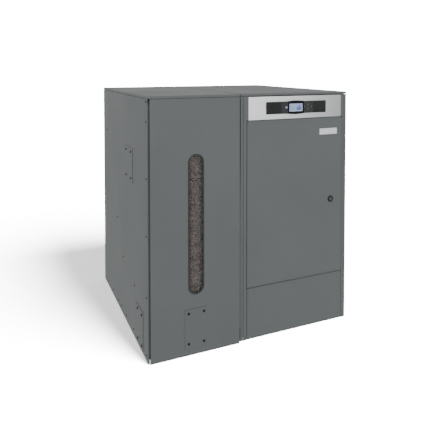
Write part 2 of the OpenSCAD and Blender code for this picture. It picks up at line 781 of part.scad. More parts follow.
module control_bezel() color(silver) place() difference() {
    block([bezel_x0, front_y, bezel_z], [bezel_x1, rail_y, bezel_top]);
    block([bezel_x0 + bezel_t, front_y + bezel_t, bezel_z + bezel_t],
          [bezel_x1 - bezel_t, rail_y + 1, bezel_top - bezel_t]);
    block([fascia_x0 + fascia_lip, front_y - 1, fascia_z - fascia_h / 2 + fascia_lip],
          [fascia_x1 - fascia_lip, front_y + bezel_t + 1, fascia_z + fascia_h / 2 - fascia_lip]);
}

module fascia_outline() {
    square([fascia_w, fascia_h], center = true);
    intersection_for (s = [-1, 1])
        translate([lcd_x - fascia_x, s * (lens_r - fascia_h / 2 - lens_rise)]) circle(r = lens_r, $fn = 180);
}

keys = [["power", -60, 1, key_r + 1.2], ["back", 46, 1, key_r - 0.6],
    ["up", 64, 12, key_r], ["down", 64, -8, key_r], ["next", 86, 1, key_r]];
function key_at(i) = [fascia_x + keys[i][1], fascia_z + keys[i][2]];
key_floor = front_y + 6;

module control_fascia() color(black) place() difference() {
    union() {
        translate([fascia_x, front_y, fascia_z]) rotate([90, 0, 0])
            linear_extrude(fascia_proud) fascia_outline();
        block([fascia_x0 + fascia_lip + 0.3, front_y, fascia_z - fascia_h / 2 + fascia_lip + 0.3],
              [fascia_x1 - fascia_lip - 0.3, fascia_back, fascia_z + fascia_h / 2 - fascia_lip - 0.3]);
    }
    block([lcd_x - lcd_w / 2, fascia_front - 1, lcd_z - lcd_h / 2],
          [lcd_x + lcd_w / 2, fascia_front + 4, lcd_z + lcd_h / 2]);
    for (i = [0 : 4]) bar_y(key_at(i)[0], key_at(i)[1], keys[i][3] + 0.3, fascia_front - 1, key_floor);
}

module display_screen() color("#9aaad0") place()
    block([lcd_x - lcd_w / 2 + 0.1, fascia_front + 1, lcd_z - lcd_h / 2 + 0.1],
          [lcd_x + lcd_w / 2 - 0.1, fascia_front + 4, lcd_z + lcd_h / 2 - 0.1]);

module key(i) color(i == 0 ? "#d8dadb" : "#8f9294") place()
    bar_y(key_at(i)[0], key_at(i)[1], keys[i][3], fascia_front - key_travel, key_floor - key_travel - 0.2);

module key_power() key(0);
module key_back() key(1);
module key_up() key(2);
module key_down() key(3);
module key_next() key(4);

board_inset = 12;
board_half = fascia_h / 2 - 2;
board_t = 1.6;

module control_board() color("#2f6b46") place() {
    block([fascia_x0 + board_inset, fascia_back, fascia_z - board_half],
          [fascia_x1 - board_inset, fascia_back + board_t, fascia_z + board_half]);
    block([lcd_x - lcd_w * 0.38, fascia_back + board_t, fascia_z - lcd_h * 0.45],
          [lcd_x + lcd_w * 0.38, fascia_back + 4 * board_t, fascia_z + lcd_h * 0.45]);
    for (f = [-0.34, -0.26, 0.2, 0.31])
        bar_y(fascia_x + f * fascia_w, fascia_z, 4 * board_t, fascia_back + board_t, fascia_back + 5 * board_t);
}

box_inset = 20;
box_t = 1.5;
box_x0 = body_x0 + box_inset;
box_x1 = body_x1 - box_inset;
box_y0 = rail_y + 4;
box_y1 = body_y0 - box_inset;
box_z0 = bezel_z + 14;
relay_w = 28;
relay_pitch = 42;

module electronics_box() color(zinc) place() {
    difference() {
        block([box_x0, box_y0, box_z0], [box_x1, box_y1, post_top - 8]);
        block([box_x0 + box_t, box_y0 + box_t, box_z0 + box_t], [box_x1 - box_t, box_y1 - box_t, post_top]);
    }
    block([box_x0 + 30, box_y0 + 36, box_z0 + box_t], [box_x1 - 150, box_y1 - 40, box_z0 + box_t + 2.5]);
    for (i = [0 : 5]) {
        x = box_x0 + 45 + i * relay_pitch;
        block([x, box_y0 + 56, box_z0 + box_t + 2.5], [x + relay_w, box_y0 + 80, box_z0 + 24]);
    }
    block([box_x1 - 110, box_y0 + 46, box_z0 + box_t], [box_x1 - 30, box_y0 + 126, box_z0 + 56]);
}

// The ash drawer, under the door.

tray_x0 = body_x0 + 40;
tray_x1 = body_x1 - 40;
tray_y1 = body_y1 - 30;
tray_z0 = floor_z + rim_h + 4;
tray_z1 = 204;
runner_z = 118;

module drawer_front() color(casing_grey) place() union() {
    pan(door_x0, door_x1, drawer_z, drawer_top);
    block([tray_x0, front_y + sheet_t, tray_z0], [tray_x1, front_y + door_t, tray_z0 + 20]);
}

module ash_tray() color(zinc) place() union() {
    difference() {
        block([tray_x0, front_y + door_t, tray_z0], [tray_x1, tray_y1, tray_z1]);
        block([tray_x0 + 1.5, front_y + door_t + 1.5, tray_z0 + 1.5], [tray_x1 - 1.5, tray_y1 - 1.5, tray_z1 + 1]);
    }
    block([tray_x0 - 12, body_y0 - 40, runner_z], [tray_x0, tray_y1, runner_z + 2]);
    block([tray_x1, body_y0 - 40, runner_z], [tray_x1 + 12, tray_y1, runner_z + 2]);
}

// The boiler body and what carries it.

module body_stand() color(dark_grey) place() for (mx = [0, 1])
    translate([mx == 0 ? body_x0 : body_x1, 0, 0]) mirror([mx, 0, 0]) {
        block([0, body_y0, floor_z + 3], [body_t, body_y1, body_z0]);
        block([0, body_y0, body_z0 - 6], [26, body_y1, body_z0]);
        block([body_t, body_y0 - 40, runner_z - seat_gap - 2], [39.5, body_y1 - 20, runner_z - seat_gap]);
        block([body_t, body_y0, runner_z - 34], [body_t + 2, body_y1 - 20, runner_z - seat_gap - 2]);
    }

fire_x0 = body_x0 + water_gap;
fire_x1 = body_x1 - water_gap;
fire_y0 = body_y0 + water_gap;
fire_y1 = body_y1 - water_gap;
crown_z = body_z0 + firebox_h;
throat_r = 66;
tube_xs = [for (i = [-1.5, -0.5, 0.5, 1.5]) mid_x + i * tube_pitch];
tube_ys = [for (j = [-0.5, 0.5]) (body_y0 + body_y1) / 2 + j * row_pitch];
shaft_x = mid_x - 50;
shaft_z = body_z1 - 42;
shaft_r = 8;

flow_core_r = 12;
drain_core_r = 7;
boss_r = 16;
boss_l = 20;

module socket(x, z, outer_r, bore_r, deep_r) {
    difference() {
        bar_y(x, z, outer_r, body_y1, casing_d + pipe_reach);
        bar_y(x, z, bore_r, casing_d + pipe_reach - socket_thread, casing_d + pipe_reach + 1);
        bar_y(x, z, deep_r, body_y1 - 1, casing_d + pipe_reach);
    }
}

module water_sockets() color(steel) place() {
    for (p = [flow_pos, return_pos]) socket(p[0], p[1], flow_r, socket_r, flow_core_r);
    socket(drain_pos[0], drain_pos[1], drain_outer_r, drain_r, drain_core_r);
}

// The water jacket: welded plates, the front and the rear one over the ends of the others.
// Four bars make its floor, round the opening that lets the ash fall.
module boiler_shell() color(steel) place() {
    x0 = body_x0 + body_t + root_gap;
    x1 = body_x1 - body_t - root_gap;
    y0 = body_y0 + body_t + root_gap;
    y1 = body_y1 - body_t - root_gap;
    difference() {
        block([body_x0, body_y0, body_z0], [body_x1, body_y0 + body_t, body_z1]);
        bar_y(drop_x, burner_z, throat_r, body_y0 - 1, body_y0 + body_t + 1);
        bar_y(shaft_x, shaft_z, shaft_r + pin_gap, body_y0 - 1, body_y0 + body_t + 1);
    }
    difference() {
        union() {
            block([body_x0, body_y1 - body_t, body_z0], [body_x1, body_y1, body_z1]);
            bar_y(shaft_x, shaft_z, boss_r, body_y1 - body_t - boss_l, body_y1 - 1);
        }
        bar_y(shaft_x, shaft_z, shaft_r + pin_gap, body_y1 - body_t - boss_l - 1, body_y1 - body_t - 1);
        bar_y(fan_x, flue_z, gas_r, body_y1 - body_t - 1, body_y1 + 1);
        for (p = [flow_pos, return_pos]) bar_y(p[0], p[1], flow_core_r, body_y1 - body_t - 1, body_y1 + 1);
        bar_y(drain_pos[0], drain_pos[1], drain_core_r, body_y1 - body_t - 1, body_y1 + 1);
    }
    for (x = [body_x0, body_x1 - body_t]) block([x, y0, body_z0], [x + body_t, y1, body_z1]);
    ash_x0 = fire_x0 + body_t;
    ash_x1 = fire_x1 - body_t;
    for (x = [[x0, ash_x0], [ash_x1, x1]]) block([x[0], y0, body_z0], [x[1], y1, body_z0 + body_t]);
    for (y = [[y0, fire_y0 + body_t], [fire_y1 - body_t, y1]])
        block([ash_x0 + root_gap, y[0], body_z0], [ash_x1 - root_gap, y[1], body_z0 + body_t]);
}

// The firebox: a crown plate over four walls, with a throat for the burner's nose.
module firebox() color(dark_grey) place() {
    x0 = fire_x0 + body_t + root_gap;
    x1 = fire_x1 - body_t - root_gap;
    z0 = body_z0 + body_t;
    z1 = crown_z - body_t - root_gap;
    for (x = [fire_x0, fire_x1 - body_t]) block([x, fire_y0, z0], [x + body_t, fire_y1, z1]);
    block([x0, fire_y1 - body_t, z0], [x1, fire_y1, z1]);
    difference() {
        union() {
            block([x0, fire_y0, z0], [x1, fire_y0 + body_t, z1]);
            bar_y(drop_x, burner_z, throat_r + body_t, body_y0 + body_t, fire_y0 + 1);
        }
        bar_y(drop_x, burner_z, throat_r, body_y0, fire_y0 + body_t + 1);
    }
    difference() {
        block([fire_x0, fire_y0, crown_z - body_t], [fire_x1, fire_y1, crown_z]);
        for (x = tube_xs, y = tube_ys) bar_z(x, y, tube_r - tube_t, crown_z - body_t - 1, crown_z + 1);
    }
}

module smoke_tubes() color(steel) place() {
    for (x = tube_xs, y = tube_ys) difference() {
        bar_z(x, y, tube_r, crown_z, smoke_z);
        bar_z(x, y, tube_r - tube_t, crown_z - 1, smoke_z + 1);
    }
    difference() {
        block([body_x0 + body_t, body_y0 + body_t, smoke_z - body_t],
              [body_x1 - body_t, body_y1 - body_t, smoke_z]);
        for (x = tube_xs, y = tube_ys) bar_z(x, y, tube_r + root_gap, smoke_z - body_t - 1, smoke_z + 1);
    }
}

module smokebox_lid() color(dark_grey) place() {
    block([body_x0, body_y0, body_z1], [body_x1, body_y1, body_z1 + 6]);
    for (i = [-1, 1], j = [-1, 1])
        bar_z(mid_x + i * (body_w / 2 - 20), (body_y0 + body_y1) / 2 + j * (body_l / 2 - 20), 12,
              body_z1 + 6, body_z1 + 18);
    for (y = [body_y0 + 140, body_y1 - 140])
        block([mid_x - 60, y - 6, body_z1 + 6], [mid_x + 60, y + 6, body_z1 + 16]);
}

// The tube cleaners: twisted strips on a lifting frame, raised by arms on a turning shaft.

arm_r = 50;
arm_rest = 20;
arm_swing = 40;
lift_pin_r = 5;
lift_slack = 0.6;
frame_z = smoke_z + 15;
frame_h = 6;
strip_w = 2 * (tube_r - tube_t) - 10;
strip_low = crown_z + 18;
strip_len = frame_z - strip_low;
ledge_z = shaft_z - arm_r * sin(arm_rest) + lift_pin_r + lift_slack;
bar_half = 10;

module turbulators() color(steel) place() {
    for (y = tube_ys) {
        block([tube_xs[0] - bar_half, y - bar_half, frame_z], [tube_xs[3] + bar_half, y + bar_half, frame_z + frame_h]);
        block([mid_x + 22, y - bar_half, frame_z], [mid_x + 28, y + bar_half, ledge_z + 6]);
        block([mid_x - 20, y - bar_half, ledge_z], [mid_x + 28, y + bar_half, ledge_z + 6]);
    }
    for (x = [tube_xs[0], tube_xs[3]])
        block([x - bar_half, tube_ys[0], frame_z], [x + bar_half, tube_ys[1], frame_z + frame_h]);
    for (x = tube_xs, y = tube_ys) translate([x, y, strip_low])
        linear_extrude(strip_len, twist = 720, slices = 32, $fn = 4) square([strip_w, 2], center = true);
}

module cleaning_shaft() color(steel) place() {
    bar_y(shaft_x, shaft_z, shaft_r, body_y0 - 40, body_y1 - body_t - 1.5);
    for (s = [0, 1]) {
        y = s == 0 ? tube_ys[0] + bar_half + 6 : tube_ys[1] - bar_half - 14;
        pin_y = s == 0 ? tube_ys[0] - bar_half : tube_ys[1] - bar_half - 14;
        pin_end = s == 0 ? tube_ys[0] + bar_half + 14 : tube_ys[1] + bar_half;
        translate([shaft_x, y, shaft_z]) rotate([0, arm_rest, 0]) {
            translate([0, 8, 0]) rotate([90, 0, 0]) linear_extrude(8) difference() {
                union() {
                    circle(r = 14);
                    translate([0, -7]) square([arm_r, 14]);
                    translate([arm_r, 0]) circle(r = 7);
                }
                circle(r = shaft_r + pin_gap);
            }
            translate([arm_r, pin_end - y, 0]) rotate([90, 0, 0]) cylinder(h = pin_end - pin_y, r = lift_pin_r);
        }
    }
}

module cleaning_gearmotor() color(dark_grey) place() difference() {
    union() {
        block([shaft_x - 34, body_y0 - 62, shaft_z - 34], [shaft_x + 34, body_y0, shaft_z + 34]);
        bar_y(shaft_x, shaft_z - 8, 24, body_y0 - 132, body_y0 - 62);
        block([shaft_x - 44, body_y0 - 5, shaft_z - 24], [shaft_x + 44, body_y0, shaft_z + 24]);
    }
    bar_y(shaft_x, shaft_z, shaft_r + pin_gap, body_y0 - 41, body_y0 + 1);
}

// The burner.

burner_w = 180;
burner_x0 = drop_x - burner_w / 2;
burner_y0 = 105;
burner_low = burner_top - 150;
nose_r = 58;
nose_l = 140;
flange_t = 8;
flange_half = 96;
blower_r = 62;
blower_w = 46;
blower_y = 225;
blower_z = burner_z + 5;
blower_x = burner_x0 - blower_w;
spindle_r = 5;
spindle_l = 28;

box_wall = 3;

// A box of six welded sheets: the front and the rear one lie over the ends of the others.
module welded_box(a, b, t) {
    y0 = a[1] + t + root_gap;
    y1 = b[1] - t - root_gap;
    for (y = [a[1], b[1] - t]) block([a[0], y, a[2]], [b[0], y + t, b[2]]);
    for (x = [a[0], b[0] - t]) block([x, y0, a[2]], [x + t, y1, b[2]]);
    for (z = [a[2], b[2] - t]) block([a[0] + t + root_gap, y0, z], [b[0] - t - root_gap, y1, z + t]);
}

module burner_body() color("#7d7f80") place() {
    flange_y = body_y0 - flange_t;
    difference() {
        welded_box([burner_x0, burner_y0, burner_low], [burner_x0 + burner_w, flange_y, burner_top], box_wall);
        bar_y(drop_x, burner_z, nose_r - 4, flange_y - 4, flange_y + 1);
        bar_z(drop_x, auger_y, auger_r - 3, burner_top - 4, burner_top + 1);
        bar_x(blower_y, blower_z, 30, burner_x0 - 1, burner_x0 + 4);
    }
    difference() {
        block([drop_x - flange_half, flange_y + root_gap, burner_z - 82],
              [drop_x + flange_half, body_y0, burner_z + 82]);
        bar_y(drop_x, burner_z, nose_r + root_gap, flange_y - 1, body_y0 + 1);
    }
    difference() {
        bar_y(drop_x, burner_z, nose_r, flange_y + root_gap, body_y0 + nose_l);
        bar_y(drop_x, burner_z, nose_r - 4, flange_y, body_y0 + nose_l + 1);
    }
    difference() {
        bar_z(drop_x, auger_y, auger_r, burner_top + root_gap, neck_z);
        bar_z(drop_x, auger_y, auger_r - 3, burner_top, neck_z + 1);
    }
    difference() {
        bar_x(blower_y, blower_z, blower_r, blower_x, burner_x0 - root_gap);
        bar_x(blower_y, blower_z, blower_r - 3, blower_x + 2, burner_x0 + 1);
        for (a = [0 : 60 : 300])
            bar_x(blower_y + 28 * cos(a), blower_z + 28 * sin(a), 9, blower_x - 1, blower_x + 3);
    }
    bar_x(blower_y, blower_z, spindle_r, blower_x + 1, blower_x + spindle_l);
}

// A blower wheel: a back plate, a hub and blades; the axis runs along local Z.
module blower_wheel(r, w, hub_r, blades) {
    cylinder(h = 2, r = r);
    cylinder(h = w, r = hub_r);
    for (i = [0 : blades - 1]) rotate([0, 0, i * 360 / blades])
        translate([r - 14, 0, 0]) rotate([0, 0, 35]) translate([0, -1, 0]) cube([14, 2, w]);
}

module burner_impeller() color(zinc) place() {
    w = blower_w - 6 - 2 * seat_gap;
    translate([burner_x0 - 2 - seat_gap, blower_y, blower_z]) rotate([0, -90, 0]) difference() {
        blower_wheel(blower_r - 18, w, 9, 12);
        translate([0, 0, w - spindle_l]) cylinder(h = spindle_l + 1, r = spindle_r + pin_gap);
    }
}

// The flue gas fan at the rear.

fan_y0 = body_y1 + insulation_t + 2;
fan_y1 = casing_d - 28;
fan_half = 80;
wheel_r = 56;
fan_motor_r = 36;

module flue_fan_housing() color(dark_grey) place() {
    x0 = fan_x - fan_half;
    x1 = flue_x + fan_half;
    difference() {
        welded_box([x0, fan_y0, flue_z - fan_half], [x1, fan_y1, flue_z + fan_half], box_wall);
        bar_y(fan_x, flue_z, gas_r, fan_y0 - 1, fan_y0 + 4);
        bar_y(flue_x, flue_z, flue_r - 2, fan_y1 - 4, fan_y1 + 1);
    }
    difference() {
        bar_y(fan_x, flue_z, collar_r, body_y1, fan_y0 - root_gap);
        bar_y(fan_x, flue_z, gas_r, body_y1 - 1, fan_y0 + 1);
    }
    difference() {
        bar_y(flue_x, flue_z, flue_r, fan_y1 + root_gap, casing_d + flue_reach);
        bar_y(flue_x, flue_z, flue_r - 2, fan_y1, casing_d + flue_reach + 1);
    }
    bar_y(fan_x, flue_z, fan_motor_r, fan_y1 + root_gap, casing_d - 6);
}

module flue_fan_impeller() color(steel) place()
    translate([fan_x, fan_y1 - 3 - seat_gap, flue_z]) rotate([90, 0, 0])
        blower_wheel(wheel_r, fan_y1 - fan_y0 - 14, 10, 12);

module insulation_jacket() color("#c9b98f") place() {
    for (x = [body_x0 - insulation_t, body_x1 + seat_gap])
        block([x, body_y0 + 2, body_z0], [x + insulation_t - seat_gap, body_y1 + insulation_t, body_z1]);
    difference() {
        block([body_x0, body_y1 + seat_gap, body_z0], [body_x1, body_y1 + insulation_t, body_z1]);
        bar_y(fan_x, flue_z, collar_r + 1, body_y1, body_y1 + insulation_t + 1);
        for (p = [flow_pos, return_pos]) bar_y(p[0], p[1], flow_r + 1, body_y1, body_y1 + insulation_t + 1);
        bar_y(drain_pos[0], drain_pos[1], drain_outer_r + 1, body_y1, body_y1 + insulation_t + 1);
    }
}

hopper_base();
levelling_feet();
hopper_posts();
hopper_left_panel();
hopper_front_panel();
hopper_right_panel();
hopper_back_panel();
hopper_bin();
window_pane();
window_trim();
pellet_fill();
service_plates();
casing_screws();
hopper_lid();
lid_gasket();
lid_hinges();
auger_tube();
auger_screw();
auger_gearmotor();
feed_hose();
boiler_base();
cable_gland();
boiler_left_panel();
boiler_right_panel();
boiler_back_panel();
front_posts();
rear_posts();
front_rails();
boiler_cover();
door_hinge_pins();
door_panel();
door_badge();
lock_ring();
lock_core();
control_bezel();
control_fascia();
display_screen();
control_board();
key_power();
key_back();
key_up();
key_down();
key_next();
electronics_box();
drawer_front();
ash_tray();
body_stand();
boiler_shell();
water_sockets();
firebox();
smoke_tubes();
smokebox_lid();
turbulators();
cleaning_shaft();
cleaning_gearmotor();
burner_body();
burner_impeller();
flue_fan_housing();
flue_fan_impeller();
insulation_jacket();
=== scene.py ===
"""Pellet boiler: the finished look of the cabinet, its controls and what it holds."""

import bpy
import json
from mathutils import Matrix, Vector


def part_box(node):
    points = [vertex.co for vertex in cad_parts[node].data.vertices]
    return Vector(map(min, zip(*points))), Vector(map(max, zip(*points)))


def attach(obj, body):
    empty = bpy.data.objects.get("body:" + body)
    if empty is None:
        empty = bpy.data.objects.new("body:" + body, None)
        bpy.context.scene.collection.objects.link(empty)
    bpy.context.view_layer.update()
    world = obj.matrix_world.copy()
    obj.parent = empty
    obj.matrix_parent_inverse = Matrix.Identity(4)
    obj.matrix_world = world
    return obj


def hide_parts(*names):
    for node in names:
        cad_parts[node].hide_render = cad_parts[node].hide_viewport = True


bl_info = {
    "name": "Pellet boiler",
    "version": (1, 0, 0),
    "blender": (4, 5, 0),
    "location": "3D View > Sidebar > Pellet boiler",
    "description": "Dresses the pellet boiler's parts with finished pieces and materials",
    "category": "Object",
}

import json
import math
import random

import bmesh
import bpy
from bpy.props import FloatProperty, FloatVectorProperty, IntProperty, PointerProperty
from mathutils import Matrix, Vector

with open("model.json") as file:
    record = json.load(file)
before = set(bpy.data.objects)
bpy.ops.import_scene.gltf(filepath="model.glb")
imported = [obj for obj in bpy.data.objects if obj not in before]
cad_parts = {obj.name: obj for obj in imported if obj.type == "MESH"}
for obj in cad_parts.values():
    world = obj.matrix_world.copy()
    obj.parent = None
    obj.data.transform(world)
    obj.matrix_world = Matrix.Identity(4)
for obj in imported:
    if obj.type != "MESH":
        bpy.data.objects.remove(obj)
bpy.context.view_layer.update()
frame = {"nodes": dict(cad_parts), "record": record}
NODES = frame["nodes"]
BODY_OF = {n: body for body, names in frame["record"]["behaviour"]["bodies"].items() for n in names}
SLOT_OF = {s["node"]: s["material_slot"] for s in frame["record"]["subparts"]}
MM = 0.001


# Settings that a user would change


class CasingLook(bpy.types.PropertyGroup):
    """The casing's powder coat."""

    colour: FloatVectorProperty(
        name="Coat colour", description="Colour of the casing's powder coat",
        subtype="COLOR", size=3, min=0, max=1, default=(0.104, 0.1145, 0.1165))
    roughness: FloatProperty(
        name="Coat roughness", description="How dull the coat is", min=0.1, max=1, default=0.5)
    grain: FloatProperty(
        name="Grain size", description="Size of the coat's fine texture",
        subtype="DISTANCE", unit="LENGTH", default=0.0011)
    bend: FloatProperty(
        name="Bend radius", description="Outside radius where the sheet is folded",
        subtype="DISTANCE", unit="LENGTH", default=0.0025)


class ControlLook(bpy.types.PropertyGroup):
    """The control panel."""

    backlight: FloatVectorProperty(
        name="Backlight", description="Colour of the lit display",
        subtype="COLOR", size=3, min=0, max=1, default=(0.2, 0.3, 0.54))
    glow: FloatProperty(name="Glow", description="Strength of the backlight", min=0, max=5, default=0.4)


class PelletLook(bpy.types.PropertyGroup):
    """The loose fuel pellets."""

    diameter: FloatProperty(
        name="Diameter", description="Diameter of a pellet", subtype="DISTANCE", unit="LENGTH", default=0.006)
    length: FloatProperty(
        name="Length", description="Mean length of a pellet", subtype="DISTANCE", unit="LENGTH", default=0.017)
    seed: IntProperty(name="Seed", description="Seed of the random pile", default=11)


class StageLook(bpy.types.PropertyGroup):
    """The camera and the studio."""

    eye: FloatVectorProperty(
        name="Camera", description="Where the camera stands", subtype="TRANSLATION", size=3,
        default=(-1.1185, -2.6841, 1.3322))
    turn: FloatProperty(
        name="Turn", description="The camera's turn to the right of straight ahead",
        subtype="ANGLE", default=math.radians(23.875))
    tilt: FloatProperty(
        name="Tilt", description="The camera's tilt below the horizon", subtype="ANGLE",
        default=math.radians(2.0))
    lens: FloatProperty(name="Lens", description="Focal length in millimetres", default=40.617)
    drop: FloatProperty(name="Drop", description="Downward shift of the view", default=-0.3127)
    fill: FloatProperty(name="Fill light", description="Strength of the white surround", default=1.0)
    overhead: FloatProperty(name="Overhead light", description="Strength of the surround overhead", default=0.55)
    bounce: FloatProperty(name="Floor light", description="Light that the pale floor gives back", default=0.7)
    key: FloatProperty(name="Key light", description="Strength of the large soft light in front", default=0.88)


# Node helpers

NODE_CHOICES = {"blend_type", "operation", "data_type", "attribute_name", "use_clamp"}
COLOUR, FLOAT, VECTOR = "NodeSocketColor", "NodeSocketFloat", "NodeSocketVector"
GROUPS = {}
MATERIALS = {}


def rgb(r, g, b):
    """A colour with full opacity."""
    return (r, g, b, 1.0)


def feed(tree, socket, value):
    """Links a socket to a value that is a socket, or else sets it."""
    if isinstance(value, bpy.types.NodeSocket):
        tree.links.new(value, socket)
    else:
        socket.default_value = value


def add(tree, kind, **values):
    """Adds a node; a value is a property, a number or colour for an input, or a socket to link from."""
    made = tree.nodes.new("ShaderNode" + kind)
    for key in NODE_CHOICES & values.keys():
        setattr(made, key, values.pop(key))
    for key, value in values.items():
        place = int(key[1:]) if key[0] == "i" and key[1:].isdigit() else key.replace("_", " ")
        feed(tree, made.inputs[place], value)
    return made


def object_place(tree):
    """The point's coordinates on its object."""
    return add(tree, "TexCoord").outputs["Object"]


def noise(tree, place, scale, detail, **more):
    """The level of a cloudy noise."""
    return add(tree, "TexNoise", Vector=place, Scale=scale, Detail=detail, **more).outputs[0]


def product(tree, a, b):
    """The product of two numbers."""
    return add(tree, "Math", operation="MULTIPLY", i0=a, i1=b).outputs[0]


def total(tree, a, b, clamp=False):
    """The sum of two numbers."""
    return add(tree, "Math", operation="ADD", i0=a, i1=b, use_clamp=clamp).outputs[0]


def mix_colour(tree, factor, a, b, blend="MIX"):
    """The colour mixed from a to b."""
    made = add(tree, "Mix", data_type="RGBA", blend_type=blend)
    for place, value in ((0, factor), (6, a), (7, b)):
        feed(tree, made.inputs[place], value)
    return made.outputs[2]


def ramp(tree, value, low, high, out_low=0.0, out_high=1.0):
    """A value moved from one range to another, held at its ends."""
    return add(tree, "MapRange", Value=value, From_Min=low, From_Max=high,
               To_Min=out_low, To_Max=out_high).outputs[0]


def toned(tree, colour, tone):
    """A colour made lighter or darker by a number."""
    grey = add(tree, "CombineColor", Red=tone, Green=tone, Blue=tone).outputs[0]
    return mix_colour(tree, 1.0, colour, grey, "MULTIPLY")


def shader_group(name, *inputs):
    """An empty shader group: its tree, and its inputs by name."""
    tree = bpy.data.node_groups.new(name, "ShaderNodeTree")
    for label, kind, value in inputs:
        tree.interface.new_socket(label, in_out="INPUT", socket_type=kind).default_value = value
    for label, kind in (("Colour", COLOUR), ("Roughness", FLOAT), ("Height", FLOAT)):
        tree.interface.new_socket(label, in_out="OUTPUT", socket_type=kind)
    return tree, tree.nodes.new("NodeGroupInput").outputs


def close_group(tree, colour, roughness, height):
    """Feeds a group's outputs and hands the group back."""
    ends = tree.nodes.new("NodeGroupOutput").inputs
    for label, source in (("Colour", colour), ("Roughness", roughness), ("Height", height)):
        tree.links.new(source, ends[label])
    return tree


def coat_group():
    """Powder coat: a fine orange-peel grain over slow changes of tone."""
    tree, ins = shader_group("Powder coat", ("Colour", COLOUR, rgb(0.2, 0.2, 0.2)), ("Grain scale", FLOAT, 900),
                             ("Roughness", FLOAT, 0.5))
    place = object_place(tree)
    fine = noise(tree, place, ins["Grain scale"], 2.0, Roughness=0.6)
    slow = noise(tree, place, 2.3, 3.0, Roughness=0.55)
    speck = noise(tree, place, 260.0, 1.0)
    tone = product(tree, ramp(tree, slow, 0.3, 0.7, 0.95, 1.05), ramp(tree, speck, 0.3, 0.7, 0.97, 1.03))
    rough = total(tree, ramp(tree, slow, 0.3, 0.7, -0.05, 0.05), ins["Roughness"])
    return close_group(tree, toned(tree, ins["Colour"], tone), rough, fine)


def brushed_group():
    """Brushed metal: long streaks along one direction."""
    tree, ins = shader_group("Brushed metal", ("Colour", COLOUR, rgb(0.7, 0.7, 0.7)),
                             ("Stretch", VECTOR, (6, 900, 900)), ("Roughness", FLOAT, 0.3))
    place = object_place(tree)
    spread = add(tree, "VectorMath", operation="MULTIPLY", i0=place, i1=ins["Stretch"]).outputs[0]
    streak = noise(tree, spread, 1.0, 4.0, Roughness=0.7)
    cloud = noise(tree, place, 7.0, 2.0)
    tone = ramp(tree, streak, 0.25, 0.75, 0.86, 1.08)
    rough = total(tree, ramp(tree, cloud, 0.3, 0.7, -0.06, 0.08), ins["Roughness"])
    return close_group(tree, toned(tree, ins["Colour"], tone), rough, streak)


def spangle_group():
    """Galvanised sheet: irregular crystals of slightly different brightness."""
    tree, ins = shader_group("Zinc spangle", ("Colour", COLOUR, rgb(0.5, 0.52, 0.54)), ("Scale", FLOAT, 90),
                             ("Roughness", FLOAT, 0.4))
    place = object_place(tree)
    bent = add(tree, "TexNoise", Vector=place, Scale=30.0, Detail=2.0).outputs[1]
    moved = add(tree, "VectorMath", operation="MULTIPLY_ADD", i0=bent, i1=(0.02, 0.02, 0.02), i2=place).outputs[0]
    cell = add(tree, "TexVoronoi", Vector=moved, Scale=ins["Scale"]).outputs["Color"]
    level = add(tree, "SeparateColor", Color=cell).outputs[0]
    tone = ramp(tree, level, 0.0, 1.0, 0.8, 1.12)
    rough = total(tree, ramp(tree, level, 0.0, 1.0, -0.1, 0.1), ins["Roughness"])
    return close_group(tree, toned(tree, ins["Colour"], tone), rough, level)


def mottle_group():
    """Cast, moulded or woven stock: mottled tone with a coarse and a fine relief."""
    tree, ins = shader_group("Mottle", ("Dark", COLOUR, rgb(0.05, 0.05, 0.05)), ("Light", COLOUR, rgb(0.1, 0.1, 0.1)),
                             ("Coarse", FLOAT, 40), ("Fine", FLOAT, 500), ("Roughness", FLOAT, 0.6))
    place = object_place(tree)
    broad = noise(tree, place, ins["Coarse"], 5.0, Roughness=0.62)
    small = noise(tree, place, ins["Fine"], 2.0)
    level = add(tree, "Math", operation="MULTIPLY_ADD", i0=small, i1=0.35, i2=broad).outputs[0]
    tone = mix_colour(tree, ramp(tree, level, 0.5, 0.85), ins["Dark"], ins["Light"])
    rough = total(tree, ramp(tree, broad, 0.3, 0.7, 0.08, -0.08), ins["Roughness"])
    return close_group(tree, tone, rough, level)


def shared(name):
    """The shader group of that name, built on its first use."""
    makers = {"coat": coat_group, "brushed": brushed_group, "spangle": spangle_group, "mottle": mottle_group}
    if name not in GROUPS:
        GROUPS[name] = makers[name]()
    return GROUPS[name]


def blank_material(name):
    """A new material: itself, its node tree and its shader's inputs."""
    made = bpy.data.materials.new(name)
    made.use_nodes = True
    return made, made.node_tree, made.node_tree.nodes["Principled BSDF"].inputs


def surface(name, group, bump, distance, fixed=None, **inputs):
    """A material whose colour, roughness and relief come from one shader group."""
    made, tree, ends = blank_material(name)
    source = tree.nodes.new("ShaderNodeGroup")
    source.node_tree = shared(group)
    for key, value in inputs.items():
        source.inputs[key.replace("_", " ")].default_value = value
    tree.links.new(source.outputs["Colour"], ends["Base Color"])
    tree.links.new(source.outputs["Roughness"], ends["Roughness"])
    relief = add(tree, "Bump", Strength=bump, Distance=distance, Height=source.outputs["Height"])
    tree.links.new(relief.outputs[0], ends["Normal"])
    for key, value in (fixed or {}).items():
        ends[key].default_value = value
    return made


def paint_light_along_axis(made, axis, places, levels):
    """Paints light or shade into a material's colour, lighter or darker along one axis of the object."""
    tree = made.node_tree
    source = next(n for n in tree.nodes if n.type == "GROUP")
    along = add(tree, "SeparateXYZ", Vector=object_place(tree)).outputs[axis]
    tone = toned(tree, source.outputs["Colour"], ramp(tree, along, *places, *levels))
    tree.links.new(tone, tree.nodes["Principled BSDF"].inputs["Base Color"])
    return made


# Enamels: key, name, relief, its depth, colour, grain scale, roughness
ENAMELS = (
    ("dark_coat", "dark_enamel", 0.1, 0.0003, (0.035, 0.036, 0.038), 700, 0.42),
    ("motor", "motor_enamel", 0.2, 0.0004, (0.02, 0.022, 0.025), 600, 0.35),
)
